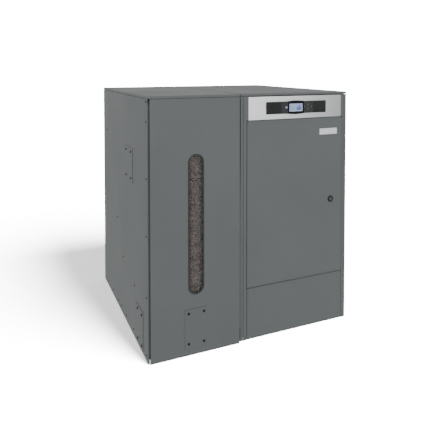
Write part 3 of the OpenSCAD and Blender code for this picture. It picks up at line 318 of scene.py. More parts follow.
# Brushed metals: key, name, relief, its depth, metallic, colour, stretch, roughness
BRUSHED = (
    ("steel", "turned_steel", 0.08, 0.0002, 1.0, (0.55, 0.55, 0.56), (300, 300, 20), 0.3),
    ("stainless", "stainless_sheet", 0.08, 0.0002, 1.0, (0.6, 0.6, 0.6), (700, 14, 700), 0.24),
    ("bezel", "brushed_bezel", 0.06, 0.0002, 0.4, (0.66, 0.67, 0.68), (5, 900, 900), 0.38),
    ("badge", "blank_plate", 0.03, 0.0001, 0.25, (0.82, 0.84, 0.87), (6, 800, 800), 0.35),
    ("core", "lock_core", 0.05, 0.0002, 1.0, (0.13, 0.13, 0.135), (300, 300, 20), 0.4),
    ("copper", "copper_winding", 0.5, 0.0004, 1.0, (0.72, 0.34, 0.18), (900, 900, 20), 0.3),
)
# Mottled stock: key, name, relief, its depth, dark tone, light tone, coarse and fine scale, roughness, specular level
MOTTLED = (
    ("plate", "boiler_plate", 0.35, 0.0006, (0.03, 0.03, 0.032), (0.075, 0.073, 0.072), 25, 420, 0.62, 0.5),
    ("black", "black_moulding", 0.15, 0.0003, (0.012, 0.012, 0.013), (0.022, 0.022, 0.024), 60, 1400, 0.45, 0.5),
    ("gloss", "gloss_lens", 0.02, 0.0001, (0.003, 0.004, 0.008), (0.005, 0.007, 0.012), 8, 300, 0.16, 0.14),
    ("strip", "control_strip", 0.08, 0.0002, (0.014, 0.0145, 0.015), (0.019, 0.0195, 0.02), 10, 900, 0.42, 0.2),
    ("overlay", "key_overlay", 0.06, 0.0002, (0.03, 0.031, 0.033), (0.042, 0.043, 0.046), 90, 1200, 0.5, 0.2),
    ("rubber", "window_rubber", 0.2, 0.0003, (0.018, 0.018, 0.019), (0.035, 0.035, 0.036), 90, 900, 0.6, 0.5),
    ("foam", "sealing_foam", 0.5, 0.0008, (0.012, 0.012, 0.012), (0.045, 0.045, 0.047), 300, 1500, 0.85, 0.5),
    ("hose", "hose_rubber", 0.2, 0.0003, (0.02, 0.02, 0.021), (0.04, 0.04, 0.042), 70, 800, 0.55, 0.5),
    ("wool", "mineral_wool", 0.9, 0.002, (0.36, 0.3, 0.16), (0.62, 0.55, 0.36), 60, 700, 0.9, 0.5),
    ("board", "circuit_laminate", 0.1, 0.0002, (0.01, 0.09, 0.045), (0.02, 0.15, 0.08), 120, 900, 0.35, 0.5),
    ("part_cream", "relay_moulding", 0.05, 0.0002, (0.55, 0.53, 0.47), (0.66, 0.64, 0.58), 50, 900, 0.45, 0.5),
    ("knob", "black_knob", 0.1, 0.0002, (0.008, 0.008, 0.009), (0.014, 0.014, 0.015), 60, 900, 0.28, 0.3),
    ("screw", "black_screw", 0.1, 0.0002, (0.005, 0.005, 0.006), (0.01, 0.01, 0.011), 90, 900, 0.4, 0.2),
    ("key_light", "light_key", 0.05, 0.0001, (0.3, 0.38, 0.5), (0.38, 0.47, 0.6), 80, 900, 0.35, 0.5),
    ("key_dark", "dark_key", 0.05, 0.0001, (0.035, 0.037, 0.04), (0.05, 0.052, 0.056), 80, 900, 0.4, 0.5),
    ("mark", "printed_mark", 0.02, 0.0001, (0.5, 0.52, 0.54), (0.6, 0.62, 0.64), 80, 900, 0.5, 0.5),
    # The strip between the cabinets: dark rubber that stands in for the shade in their gap
    ("joint", "gap_shade_rubber", 0.3, 0.0004, (0.07, 0.072, 0.073), (0.1, 0.103, 0.104), 60, 900, 0.8, 0.5),
)


def paint(name):
    """The material of that name."""
    return MATERIALS[name]


def make_materials(casing, control):
    """Makes every material once."""
    grain = 1.0 / casing.grain
    MATERIALS["casing"] = surface("casing_coat", "coat", 0.12, 0.0004, Colour=(*casing.colour, 1.0),
                                  Grain_scale=grain, Roughness=casing.roughness)
    # Painted shade: a darker coat for the inner posts seen in the casing's recessed corners and gaps, standing in for
    # the shade there
    MATERIALS["recess_shade"] = surface("recess_shade_coat", "coat", 0.1, 0.0004, Grain_scale=grain,
                                       Colour=rgb(0.045, 0.048, 0.05), Roughness=0.5)
    MATERIALS["zinc"] = surface("zinc_sheet", "spangle", 0.05, 0.0003, {"Metallic": 1.0}, Scale=85,
                                Colour=rgb(0.52, 0.54, 0.55), Roughness=0.42)
    for key, name, bump, depth, colour, scale, rough in ENAMELS:
        MATERIALS[key] = surface(name, "coat", bump, depth, Colour=rgb(*colour), Grain_scale=scale, Roughness=rough)
    for key, name, bump, depth, metal, colour, stretch, rough in BRUSHED:
        MATERIALS[key] = surface(name, "brushed", bump, depth, {"Metallic": metal}, Colour=rgb(*colour),
                                 Stretch=stretch, Roughness=rough)
    for key, name, bump, depth, dark, light, coarse, fine, rough, gleam in MOTTLED:
        MATERIALS[key] = surface(name, "mottle", bump, depth, {"Specular IOR Level": gleam}, Dark=rgb(*dark),
                                 Light=rgb(*light), Coarse=coarse, Fine=fine, Roughness=rough)
    paint("wool").node_tree.nodes["Principled BSDF"].inputs["Sheen Weight"].default_value = 0.3
    # Painted highlight: the bezel's colour is lighter at its left end and darker at its right, standing in for the
    # light reflected along it
    bezel_highlight_ends = at(500, 0, 0).x, at(1030, 0, 0).x
    paint_light_along_axis(paint("bezel"), 0, bezel_highlight_ends, (1.6, 0.68))
    # Painted shade: the strip between the cabinets grows darker towards the top, as the shade in that gap does
    gap_shade_ends = 0.62, 0.9
    paint_light_along_axis(paint("joint"), 2, gap_shade_ends, (1.0, 0.08))
    MATERIALS["pellet"] = pellet_material()
    MATERIALS["glass"] = glass_material()
    for key, name, colour, glow in (
            ("screen", "lit_screen", (*control.backlight, 1.0), control.glow),
            ("screen_dark", "screen_marks", rgb(0.03, 0.05, 0.14), 0.1),
            ("screen_blue", "screen_field", rgb(0.16, 0.22, 0.62), control.glow),
            ("screen_edge", "screen_rim", rgb(0.6, 0.66, 0.78), control.glow)):
        MATERIALS[key] = screen_material(name, colour, glow)


def pellet_material():
    """Pressed wood: each pellet has its own tone, with fine fibres across it."""
    made, tree, ends = blank_material("wood_pellets")
    tone = add(tree, "Attribute", attribute_name="tone").outputs["Fac"]
    fibre = noise(tree, object_place(tree), 700.0, 4.0, Roughness=0.7)
    dark = mix_colour(tree, tone, rgb(0.034, 0.028, 0.026), rgb(0.14, 0.119, 0.109))
    light = mix_colour(tree, ramp(tree, fibre, 0.35, 0.75), dark, rgb(0.27, 0.24, 0.215))
    tree.links.new(mix_colour(tree, 0.35, dark, light), ends["Base Color"])
    tree.links.new(ramp(tree, fibre, 0.3, 0.7, 0.62, 0.85), ends["Roughness"])
    tree.links.new(add(tree, "Bump", Strength=0.5, Distance=0.0004, Height=fibre).outputs[0], ends["Normal"])
    return made


def glass_material():
    """A clear pane: it reflects at a slant, and carries a faint film of dust."""
    made, tree, ends = blank_material("clear_pane")
    film = noise(tree, object_place(tree), 24.0, 3.0)
    dust = ramp(tree, film, 0.35, 0.8, 0.05, 0.11)
    slant = add(tree, "LayerWeight", Blend=0.2).outputs["Fresnel"]
    inner = add(tree, "NewGeometry").outputs["Backfacing"]
    cover = product(tree, total(tree, slant, dust, True), ramp(tree, inner, 0, 1, 1, 0))
    tree.links.new(cover, ends["Alpha"])
    tree.links.new(ramp(tree, film, 0.35, 0.8, 0.04, 0.12), ends["Roughness"])
    tone = mix_colour(tree, ramp(tree, film, 0.4, 0.8), rgb(0.1, 0.105, 0.105), rgb(0.3, 0.3, 0.29))
    tree.links.new(tone, ends["Base Color"])
    return made


def screen_material(name, colour, glow):
    """A softly lit display surface with slow, faint clouds in its light."""
    made, tree, ends = blank_material(name)
    cloud = noise(tree, object_place(tree), 45.0, 1.0)
    tone = mix_colour(tree, ramp(tree, cloud, 0.3, 0.7, 0.0, 0.22), colour, rgb(0.75, 0.8, 0.88))
    tree.links.new(tone, ends["Base Color"])
    tree.links.new(tone, ends["Emission Color"])
    tree.links.new(ramp(tree, cloud, 0.3, 0.7, 0.25, 0.35), ends["Roughness"])
    ends["Emission Strength"].default_value = glow
    return made


# Mesh helpers. Places are in millimetres from the hopper's left face, its front and the floor.

ORIGIN = Vector((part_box("hopper_left_panel")[0].x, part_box("hopper_front_panel")[0].y, 0.0))
SHEET = 1.5
SLOT_PAINT = {
    "casing_paint": "casing", "dark_paint": "dark_coat", "zinc_sheet": "zinc", "bright_steel": "steel",
    "body_steel": "plate", "black_plastic": "black", "gloss_black": "strip", "bezel_silver": "bezel",
    "window_glass": "glass", "rubber_trim": "rubber", "gasket_foam": "foam", "screen": "screen",
    "circuit_board": "board", "key_plastic": "key_light", "key_dark": "key_dark", "pellets": "pellet",
    "plate_blank": "badge", "mineral_wool": "wool", "motor_paint": "motor", "hose_rubber": "hose",
    "stainless": "stainless", "screw_black": "screw",
}


def at(x, y, z):
    """A point in the shared frame."""
    return ORIGIN + Vector((x, y, z)) * MM


def span(node):
    """A node's lowest and highest corners, in the millimetres of this file."""
    low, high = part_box(node)
    return (Vector(low) - ORIGIN) / MM, (Vector(high) - ORIGIN) / MM


def middle(low, high):
    """The X and Z halfway between two corners."""
    return (low.x + high.x) / 2, (low.z + high.z) / 2


def block(low, high, round_off=0.0, steps=2):
    """A box with rounded edges."""
    part = bmesh.new()
    low, high = at(*low), at(*high)
    place = Matrix.Translation((low + high) / 2) @ Matrix.Diagonal((*(high - low), 1.0))
    bmesh.ops.create_cube(part, size=1.0, matrix=place)
    if round_off:
        soften(part, part.edges[:], round_off, steps)
    return part


def soften(part, edges, width, steps=2):
    """Rounds the given edges."""
    bmesh.ops.bevel(part, geom=edges, offset=width * MM, offset_type="OFFSET", affect="EDGES",
                    segments=steps, profile=0.5, material=-1, clamp_overlap=True)


def end_rims(part):
    """The edges round the ends of a bar."""
    return [e for e in part.edges if any(len(f.verts) > 4 for f in e.link_faces)]


def axis_frame(start, direction):
    """A matrix that stands its Z along a direction, at a point."""
    turn = Vector(direction).normalized().to_track_quat("Z", "Y").to_matrix().to_4x4()
    return Matrix.Translation(start) @ turn


def rod(start, end, radius, sides, round_off=0.0):
    """A round bar between two points, its rims rounded."""
    part = bmesh.new()
    start, end = at(*start), at(*end)
    bmesh.ops.create_cone(part, cap_ends=True, segments=sides, radius1=radius * MM, radius2=radius * MM,
                          depth=(end - start).length, matrix=axis_frame((start + end) / 2, end - start))
    if round_off:
        soften(part, end_rims(part), round_off)
    return part


def turned(profile, start, direction=(0, 1, 0), sides=48, closed=True):
    """A shape turned about an axis from radius and height pairs."""
    part = bmesh.new()
    points = [part.verts.new((r * MM, 0.0, h * MM)) for r, h in profile]
    pairs = list(zip(points, points[1:])) + ([(points[-1], points[0])] if closed else [])
    edges = [part.edges.new(pair) for pair in pairs]
    bmesh.ops.spin(part, geom=points + edges, cent=(0, 0, 0), axis=(0, 0, 1), angle=math.tau,
                   steps=sides, use_merge=True)
    bmesh.ops.remove_doubles(part, verts=part.verts[:], dist=1e-7)
    bmesh.ops.recalc_face_normals(part, faces=part.faces[:])
    bmesh.ops.transform(part, matrix=axis_frame(at(*start), direction), verts=part.verts[:])
    return part


def thicken(part, face, way):
    """Extrudes a face by a vector in millimetres."""
    out = bmesh.ops.extrude_face_region(part, geom=[face])
    moved = [v for v in out["geom"] if isinstance(v, bmesh.types.BMVert)]
    bmesh.ops.translate(part, verts=moved, vec=Vector(way) * MM)
    bmesh.ops.recalc_face_normals(part, faces=part.faces[:])


def front_slab(outline, x, z, y_front, depth):
    """An outline in the front's X and Z, extruded backwards from its front face."""
    part = bmesh.new()
    thicken(part, part.faces.new([part.verts.new((a * MM, b * MM, 0.0)) for a, b in outline]), (0, 0, depth))
    place = Matrix.Translation(at(x, y_front + depth, z)) @ Matrix.Rotation(math.radians(90), 4, "X")
    bmesh.ops.transform(part, matrix=place, verts=part.verts[:])
    return part


def oval(width, height, radius, steps):
    """The outline of a rectangle with rounded corners, about its middle."""
    points = []
    for cx, cy, first in ((1, 1, 0), (-1, 1, 90), (-1, -1, 180), (1, -1, 270)):
        for i in range(steps + 1):
            turn = math.radians(first + 90 * i / steps)
            points.append((cx * (width / 2 - radius) + radius * math.cos(turn),
                           cy * (height / 2 - radius) + radius * math.sin(turn)))
    return points


def slot_loop(x, z, width, height, y):
    """An upright slot with round ends, as points in the front's X and Z."""
    return [(x + a, y, z + b) for a, b in oval(width, height, width / 2 - 0.5, steps=16)]


def lens_loop(half_w, half_h, rise):
    """A rectangle about its middle whose long sides bow outwards."""
    steps = 12
    turns = [2 * i / steps - 1 for i in range(steps)]
    bottom = [(t * half_w, -half_h - rise * (1 - t * t)) for t in turns]
    right = [(half_w, t * half_h) for t in turns]
    return bottom + right + [(-a, -b) for a, b in bottom + right]


def ring_of(sections, closed=True):
    """Joins loops of points, given in millimetres, into one skin."""
    part = bmesh.new()
    loops = [[part.verts.new(at(*p)) for p in section] for section in sections]
    for first, second in zip(loops, loops[1:] + loops[:1] if closed else loops[1:]):
        for i, corner in enumerate(first):
            j = (i + 1) % len(first)
            part.faces.new((corner, first[j], second[j], second[i]))
    bmesh.ops.recalc_face_normals(part, faces=part.faces[:])
    return part


def node_part(node):
    """A CAD node's mesh with its triangles merged into flat faces."""
    part = bmesh.new()
    part.from_mesh(NODES[node].data)
    bmesh.ops.remove_doubles(part, verts=part.verts[:], dist=2e-6)
    bmesh.ops.dissolve_limit(part, angle_limit=math.radians(1.0), verts=part.verts[:], edges=part.edges[:])
    return part


def sharp_edges(part, limit):
    """The edges where two faces meet at more than an angle."""
    return [e for e in part.edges if len(e.link_faces) == 2 and e.calc_face_angle(0.0) > math.radians(limit)]


def soft_node(node, limit, width, steps):
    """A node's merged mesh, softened along its edges."""
    part = node_part(node)
    soften(part, sharp_edges(part, limit), width, steps)
    return part


def solids(node):
    """The lowest and highest corners of each separate solid of a node, in the millimetres of this file."""
    part = node_part(node)
    left = set(part.verts)
    found = []
    for first in part.verts:
        if first not in left:
            continue
        left.discard(first)
        shell = [first]
        for vert in shell:
            for edge in vert.link_edges:
                other = edge.other_vert(vert)
                if other in left:
                    left.discard(other)
                    shell.append(other)
        low, high = (Vector([pick(v.co[i] for v in shell) for i in range(3)]) for pick in (min, max))
        found.append(((low - ORIGIN) / MM, (high - ORIGIN) / MM))
    part.free()
    return found


def held_mesh(name, part):
    """A mesh made from a part, which is used up."""
    data = bpy.data.meshes.new(name)
    part.to_mesh(data)
    part.free()
    return data


def linked(name, data):
    """An object of that data, linked to the scene."""
    made = bpy.data.objects.new(name, data)
    bpy.context.scene.collection.objects.link(made)
    return made


def set_tones(data, tones):
    """Gives each vertex its tone of pellet."""
    data.attributes.new("tone", "FLOAT", "POINT").data.foreach_set("value", tones)


class Piece:
    """A piece in the making: parts of mesh, each with its finish."""

    def __init__(self):
        self.mesh = bmesh.new()
        self.finishes = []

    def add(self, part, finish):
        """Takes a part in, gives it its finish and hands the piece back."""
        if finish not in self.finishes:
            self.finishes.append(finish)
        place = self.finishes.index(finish)
        for face in part.faces:
            face.material_index = place
        held = held_mesh("held", part)
        self.mesh.from_mesh(held)
        bpy.data.meshes.remove(held)
        return self

    def done(self, name, body, slot, replaces=(), smooth=35.0):
        """Makes the object, lets it ride on its body and hides the nodes that it stands for."""
        data = held_mesh(name, self.mesh)
        for finish in self.finishes:
            data.materials.append(paint(finish))
        data.shade_smooth()
        data.set_sharp_from_angle(angle=math.radians(smooth))
        made = linked(name, data)
        made.modifiers.new("even_shading", "WEIGHTED_NORMAL").keep_sharp = True
        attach(made, body)
        if replaces:
            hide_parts(*replaces)
        return made

    def stand_for(self, node, name, smooth=35.0):
        """Makes the object that stands for a node, on its body."""
        return self.done(name, BODY_OF[node], SLOT_OF[node], (node,), smooth)


def folded(node, bend):
    """A finished copy of a casing panel whose outer folds have the sheet's bend radius."""
    part = node_part(node)
    cut_edge = 0.4
    low = [min(v.co[i] for v in part.verts) for i in range(2)]
    high = [max(v.co[i] for v in part.verts) for i in range(2)]

    def outer(vert):
        return sum(min(abs(vert.co[i] - low[i]), abs(vert.co[i] - high[i])) < 1e-5 for i in range(2)) == 2

    folds = [e for e in sharp_edges(part, 60) if all(outer(v) for v in e.verts) and e.calc_length() > 0.1]
    soften(part, folds, bend / MM, 4)
    soften(part, sharp_edges(part, 50), cut_edge)
    return Piece().add(part, "casing").stand_for(node, node + "_finished")


def dressed(node, finish, width, steps):
    """A finished copy of a node: merged, softened along its edges, and given its finish."""
    return Piece().add(soft_node(node, 30.0, width, steps), finish).stand_for(node, node + "_finished")


def hex_screw(piece, place, direction, head_r, head_h):
    """A domed screw head with a hexagon socket, its seat at a place, its head along a direction."""
    inner, depth = head_r * 0.42, head_h * 0.35
    profile = [(inner, depth), (inner, head_h * 0.94), (inner * 1.12, head_h), (head_r * 0.62, head_h * 0.97),
               (head_r * 0.86, head_h * 0.78), (head_r * 0.98, head_h * 0.4), (head_r, 0.0), (inner, 0.0)]
    piece.add(turned(profile, place, direction, 24), "screw")
    floor = tuple(p + d * depth for p, d in zip(place, direction))
    piece.add(rod(place, floor, inner * 1.02, 6), "screw")


# The pieces


class BOILER_OT_materials(bpy.types.Operator):
    """Makes the finishes and gives every CAD node its own"""

    bl_idname = "boiler.materials"
    bl_label = "Materials"

    def execute(self, context):
        scene = context.scene
        make_materials(scene.boiler_casing, scene.boiler_control)
        for name, made in NODES.items():
            made.data.materials.clear()
            made.data.materials.append(paint(SLOT_PAINT[SLOT_OF[name]]))
        return {"FINISHED"}


def seals():
    """Foam in the seams below the two top covers, and a dark rubber strip between the cabinets that stands in for the
    shade in that gap.
    """
    skirt = span("boiler_cover")[0].z
    inset, thick, seam = 2, 3, 1.5
    hopper_top, boiler_top = skirt - 0.4, skirt + seam
    for name, first, last, front, bottom, top in (
            ("hopper_seal", "hopper_left_panel", "hopper_right_panel", span("hopper_front_panel")[0].y,
             hopper_top - 12, hopper_top),
            ("boiler_seal", "boiler_left_panel", "boiler_right_panel", span("boiler_left_panel")[0].y,
             span("control_bezel")[1].z + 0.6, boiler_top)):
        low, high = span(first)[0], span(last)[1]
        x0, y0, x1, y1 = low.x + inset, front + inset, high.x - inset, high.y - inset
        piece = Piece()
        for a, b in (((x0, y0), (x1, y0 + thick)), ((x0, y1 - thick), (x1, y1)),
                     ((x0, y0 + thick), (x0 + thick, y1 - thick)), ((x1 - thick, y0 + thick), (x1, y1 - thick))):
            piece.add(block((*a, bottom), (*b, top), 0.6), "foam")
        piece.done(name, BODY_OF[first], slot="gasket_foam")
    # The strip in the gap between the cabinets stands in for the shade there, and its coat is painted darker towards
    # the top
    left, right = span("hopper_right_panel")[1].x, span("boiler_left_panel")[0].x
    seal_y, seal_foot = (7, 11), 70
    gap_shade_strip = block((left + 0.2, seal_y[0], seal_foot), (right - 0.2, seal_y[1], skirt - 3), 1.2)
    Piece().add(gap_shade_strip, "joint").done("cabinet_seal_painted_shade", BODY_OF["boiler_left_panel"], slot="rubber_trim")


def lips():
    """Narrow turned lips that close the gaps round the door, the drawer and the bezel."""
    door_low, door_high = span("door_panel")
    drawer_low, drawer_high = span("drawer_front")
    bezel_low, bezel_high = span("control_bezel")
    column, hinge_gap, lock_gap, seam = 24, 4.2, 1.2, 1.5
    right = span("boiler_right_panel")[1].x - column
    face = door_low.y
    front, back = face + 0.4, face + 1.5
    blocks = []
    for low, high, wide in ((door_low, door_high, 0.6), (drawer_low, drawer_high, 1.9)):
        edge = low.x - hinge_gap
        blocks.append(((edge, front, low.z), (edge + wide, back, high.z), 0.2))
        blocks.append(((high.x + lock_gap, front, low.z), (right + 0.2, back, high.z), 0.3))
    blocks.append(((door_low.x, back, drawer_high.z + seam), (door_high.x, face + 3.5, door_low.z - seam), 0.3))
    blocks.append(((bezel_low.x, face + 0.5, door_high.z + 1.3), (bezel_high.x, face + 2.5, bezel_low.z + 0.1), 0.3))
    hinge_lip = ((door_low.x - 1.2, face + 1.0, door_low.z), (door_low.x + 0.4, face + 2.1, door_high.z), 0.2)
    for name, node, shapes in (("gap_lips", "front_posts", blocks), ("door_edge_lip", "door_panel", [hinge_lip])):
        piece = Piece()
        for low, high, width in shapes:
            piece.add(block(low, high, width, 1), "casing")
        piece.done(name, BODY_OF[node], slot="casing_paint")


class BOILER_OT_casing(bpy.types.Operator):
    """Folded casing panels, posts and top covers"""

    bl_idname = "boiler.casing"
    bl_label = "Casing"

    def execute(self, context):
        bend = context.scene.boiler_casing.bend
        for node in ("hopper_left_panel", "hopper_front_panel", "hopper_right_panel", "hopper_back_panel",
                     "boiler_left_panel", "boiler_right_panel", "boiler_back_panel"):
            folded(node, bend)
        # The inner posts in the recessed corners take the darker coat of painted shade
        for node, finish, width, steps in (
                ("hopper_posts", "recess_shade", 0.5, 1), ("rear_posts", "recess_shade", 0.5, 1),
                ("front_posts", "casing", 0.6, 2), ("hopper_lid", "casing", 0.7, 2),
                ("boiler_cover", "casing", 0.7, 2)):
            dressed(node, finish, width, steps)
        seals()
        lips()
        return {"FINISHED"}


class BOILER_OT_front(bpy.types.Operator):
    """The door, the ash drawer's front and the service plates"""

    bl_idname = "boiler.front"
    bl_label = "Door and plates"

    def execute(self, context):
        for node, finish, width, steps in (
                ("door_panel", "casing", 0.8, 3), ("drawer_front", "casing", 0.8, 3),
                ("service_plates", "casing", 0.5, 2), ("door_badge", "badge", 0.3, 2)):
            dressed(node, finish, width, steps)
        return {"FINISHED"}


class BOILER_OT_window(bpy.types.Operator):
    """The rubber trim and the clear pane of the sight window"""

    bl_idname = "boiler.window"
    bl_label = "Sight window"

    def execute(self, context):
        low, high = span("window_trim")
        pane_low, pane_high = span("window_pane")
        x, z = middle(low, high)
        flange, face = 6, 8.0
        width, height = high.x - low.x - flange, high.z - low.z - flange
        # Growth of the slot from the trim's visible size, and the profile's Y
        profile = ((0, -0.2), (-0.4, -1.3), (-1.8, -1.95), (-5.4, -2.0), (-6.6, -1.5), (-7.6, -1.4), (-8.8, -1.9),
                   (-13.6, -1.85), (-15.4, -1.2), (-2 * face, 0.2), (-2 * face + 6, pane_low.y),
                   (flange, pane_low.y), (flange, SHEET), (-6.4, SHEET), (-6.4, 0.0), (0, 0.0))
        rubber = ring_of([slot_loop(x, z, width + grow, height + grow, y) for grow, y in profile])
        Piece().add(rubber, "rubber").stand_for("window_trim", "window_rubber", 50)
        part = bmesh.new()
        loop = slot_loop(x, z, pane_high.x - pane_low.x, pane_high.z - pane_low.z, pane_low.y)
        thicken(part, part.faces.new([part.verts.new(at(*p)) for p in loop]), (0, pane_high.y - pane_low.y, 0))
        soften(part, sharp_edges(part, 60), 0.4, 1)
        Piece().add(part, "glass").stand_for("window_pane", "clear_window")
        return {"FINISHED"}


def pellet(look, sides, worn):
    """One short pressed rod, with its ends worn round where they are seen from near."""
    part = bmesh.new()
    bmesh.ops.create_cone(part, cap_ends=True, segments=sides, radius1=look.diameter / 2,
                          radius2=look.diameter / 2, depth=look.length)
    if worn:
        soften(part, end_rims(part), worn, 1)
    return held_mesh("pellet_shape", part)


def against_glass(chance, look, x, z, pane):
    """A place just behind the pane, inside the bin's slot, lying mostly along it."""
    # Half the slot's width and height that pellets may lie in
    half, z_half = 30.0, 313.0
    depth = chance.choice((3.3, 3.6, 5.0, 6.8, 8.5, 11.0))
    lean, roll = chance.uniform(-0.2, 0.2), chance.gauss(0.0, 0.7)
    # The nearest layer stays inside the slot; those behind it may reach past its edge
    reach = 0.6 * look.length / MM * abs(math.cos(roll)) + 3 if depth < 4.4 else -7
    direction = Vector((math.cos(roll) * math.cos(lean), math.sin(lean), math.sin(roll) * math.cos(lean)))
    place = (x + chance.uniform(reach - half, half - reach), pane + depth + abs(lean) * 9,
             z + chance.uniform(-z_half, z_half))
    return place, direction


def on_heap(chance, low, high):
    """A place on the fill's top, lying flat."""
    edge, back = 10, 960
    x = chance.uniform(low.x + edge, high.x - edge)
    y = chance.uniform(low.y + edge, min(high.y, back) - edge)
    turn = chance.uniform(0, math.tau)
    lean = chance.uniform(-0.3, 0.3)
    direction = Vector((math.cos(turn) * math.cos(lean), math.sin(turn) * math.cos(lean), math.sin(lean)))
    return (x, y, high.z + chance.choice((2.5, 3.0, 5.5, 8.0))), direction


def scatter(name, places, chance, template):
    """Joins many pellets into one piece, each with its own tone and length."""
    whole = bmesh.new()
    tones = []
    for place, direction in places:
        stretch = chance.uniform(0.55, 1.35)
        matrix = axis_frame(at(*place), direction) @ Matrix.Rotation(chance.uniform(0, 3), 4, "Z")
        single = template.copy()
        single.transform(matrix @ Matrix.Diagonal((1, 1, stretch, 1)))
        whole.from_mesh(single)
        bpy.data.meshes.remove(single)
        tones.extend([min(max(chance.gauss(0.5, 0.34), 0.0), 1.0)] * len(template.vertices))
    data = held_mesh(name, whole)
    set_tones(data, tones)
    data.materials.append(paint("pellet"))
    data.shade_smooth()
    data.set_sharp_from_angle(angle=math.radians(40))
    made = linked(name, data)
    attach(made, BODY_OF["pellet_fill"])


def heap(low, high):
    """The body of the fill, just inside the loose pellets."""
    behind_pane, below_top = 14, 5
    part = node_part("pellet_fill")
    front = [v for v in part.verts if v.co.y < at(0, low.y + 1, 0).y]
    bmesh.ops.translate(part, verts=front, vec=(0, behind_pane * MM, 0))
    top = [v for v in part.verts if v.co.z > (high.z - 1) * MM]
    bmesh.ops.translate(part, verts=top, vec=(0, 0, -below_top * MM))
    made = Piece().add(part, "pellet").stand_for("pellet_fill", "pellet_mass")
    set_tones(made.data, [0.3] * len(made.data.vertices))


class BOILER_OT_pellets(bpy.types.Operator):
    """Loose pellets behind the window and on top of the fill"""

    bl_idname = "boiler.pellets"
    bl_label = "Pellets"

    def execute(self, context):
        look = context.scene.boiler_pellets
        chance = random.Random(look.seed)
        low, high = span("pellet_fill")
        x, z = middle(*span("window_trim"))
        pane = span("window_pane")[1].y
        behind_pane, on_top = 2400, 6800
        front = [against_glass(chance, look, x, z, pane) for _ in range(behind_pane)]
        worn = 0.09 * look.diameter / MM
        scatter("window_pellets", front, chance, pellet(look, 8, worn))
        top = [on_heap(chance, low, high) for _ in range(on_top)]
        scatter("heap_pellets", top, chance, pellet(look, 6, 0))
        heap(low, high)
        return {"FINISHED"}


def strip():
    """The control strip with its glossy lens round the display."""
    low, high = span("control_fascia")
    screen_low, screen_high = span("display_screen")
    x, z = middle(screen_low, screen_high)
    w, h = screen_high.x - screen_low.x, screen_high.z - screen_low.z
    y, up = low.y, middle(low, high)[1]
    tall = (high.z - low.z) / 2 - 5.2
    piece = Piece()
    part = node_part("control_fascia")
    face = min(v.co.y for v in part.verts)
    soften(part, [e for e in sharp_edges(part, 50) if all(abs(v.co.y - face) < 1e-5 for v in e.verts)], 0.8)
    piece.add(part, "strip")
    outer, rim = lens_loop(46, tall, 3.4), lens_loop(45, tall - 1, 3.4)
    inner = lens_loop(w / 2 + 0.2, h / 2 + 0.2, 0)
    sections = ((outer, 0.9, up), (outer, -0.25, up), (rim, -0.5, up), (inner, -0.4, z), (inner, 0.9, z))
    piece.add(ring_of([[(x + a, y + back, mid + b) for a, b in loop] for loop, back, mid in sections], False),
              "gloss")
    # The key fields' ends, from the display's middle
    for x0, x1 in ((-84, -47), (47, 100)):
        piece.add(block((x + x0, y - 0.12, up - tall + 2), (x + x1, y + 0.3, up + tall - 2), 0.05, 1), "overlay")
    piece.stand_for("control_fascia", "control_strip")


def display():
    """A lit display with a bar chart in a field, lines of marks and a row of dots, all generic."""
    low, high = span("display_screen")
    w, h = high.x - low.x, high.z - low.z
    # Each mark's left, foot, right and top, as shares of the display
    frame_bars = [(0.0, 0.0, 1.0, 0.05), (0.0, 0.95, 1.0, 1.0), (0.0, 0.0, 0.022, 1.0), (0.978, 0.0, 1.0, 1.0)]
    marks = [(0.07, 0.82, 0.93, 0.845)]
    marks += [(0.08 + i * 0.05, 0.87, 0.105 + i * 0.05, 0.91) for i in range(6)]
    marks += [(0.56 + i * 0.052, 0.2, 0.592 + i * 0.052, 0.2 + level)
              for i, level in enumerate((0.22, 0.34, 0.46, 0.3, 0.52, 0.4, 0.26))]
    marks.append((0.55, 0.15, 0.94, 0.175))
    for row in (0.66, 0.52, 0.38, 0.24):
        marks.append((0.09, row, 0.13, row + 0.07))
        marks.append((0.16, row + 0.02, 0.16 + 0.3 * (0.6 + 0.4 * math.sin(row * 37)), row + 0.05))
    piece = Piece()
    piece.add(block(low, high, 0.3, 1), "screen")
    for finish, shapes in (("screen_edge", frame_bars), ("screen_blue", [(0.54, 0.06, 0.95, 0.94)]),
                           ("screen_dark", marks)):
        for x0, z0, x1, z1 in shapes:
            piece.add(block((low.x + x0 * w, low.y - 0.12, low.z + z0 * h),
                            (low.x + x1 * w, low.y + 0.1, low.z + z1 * h)), finish)
    piece.stand_for("display_screen", "lit_display")


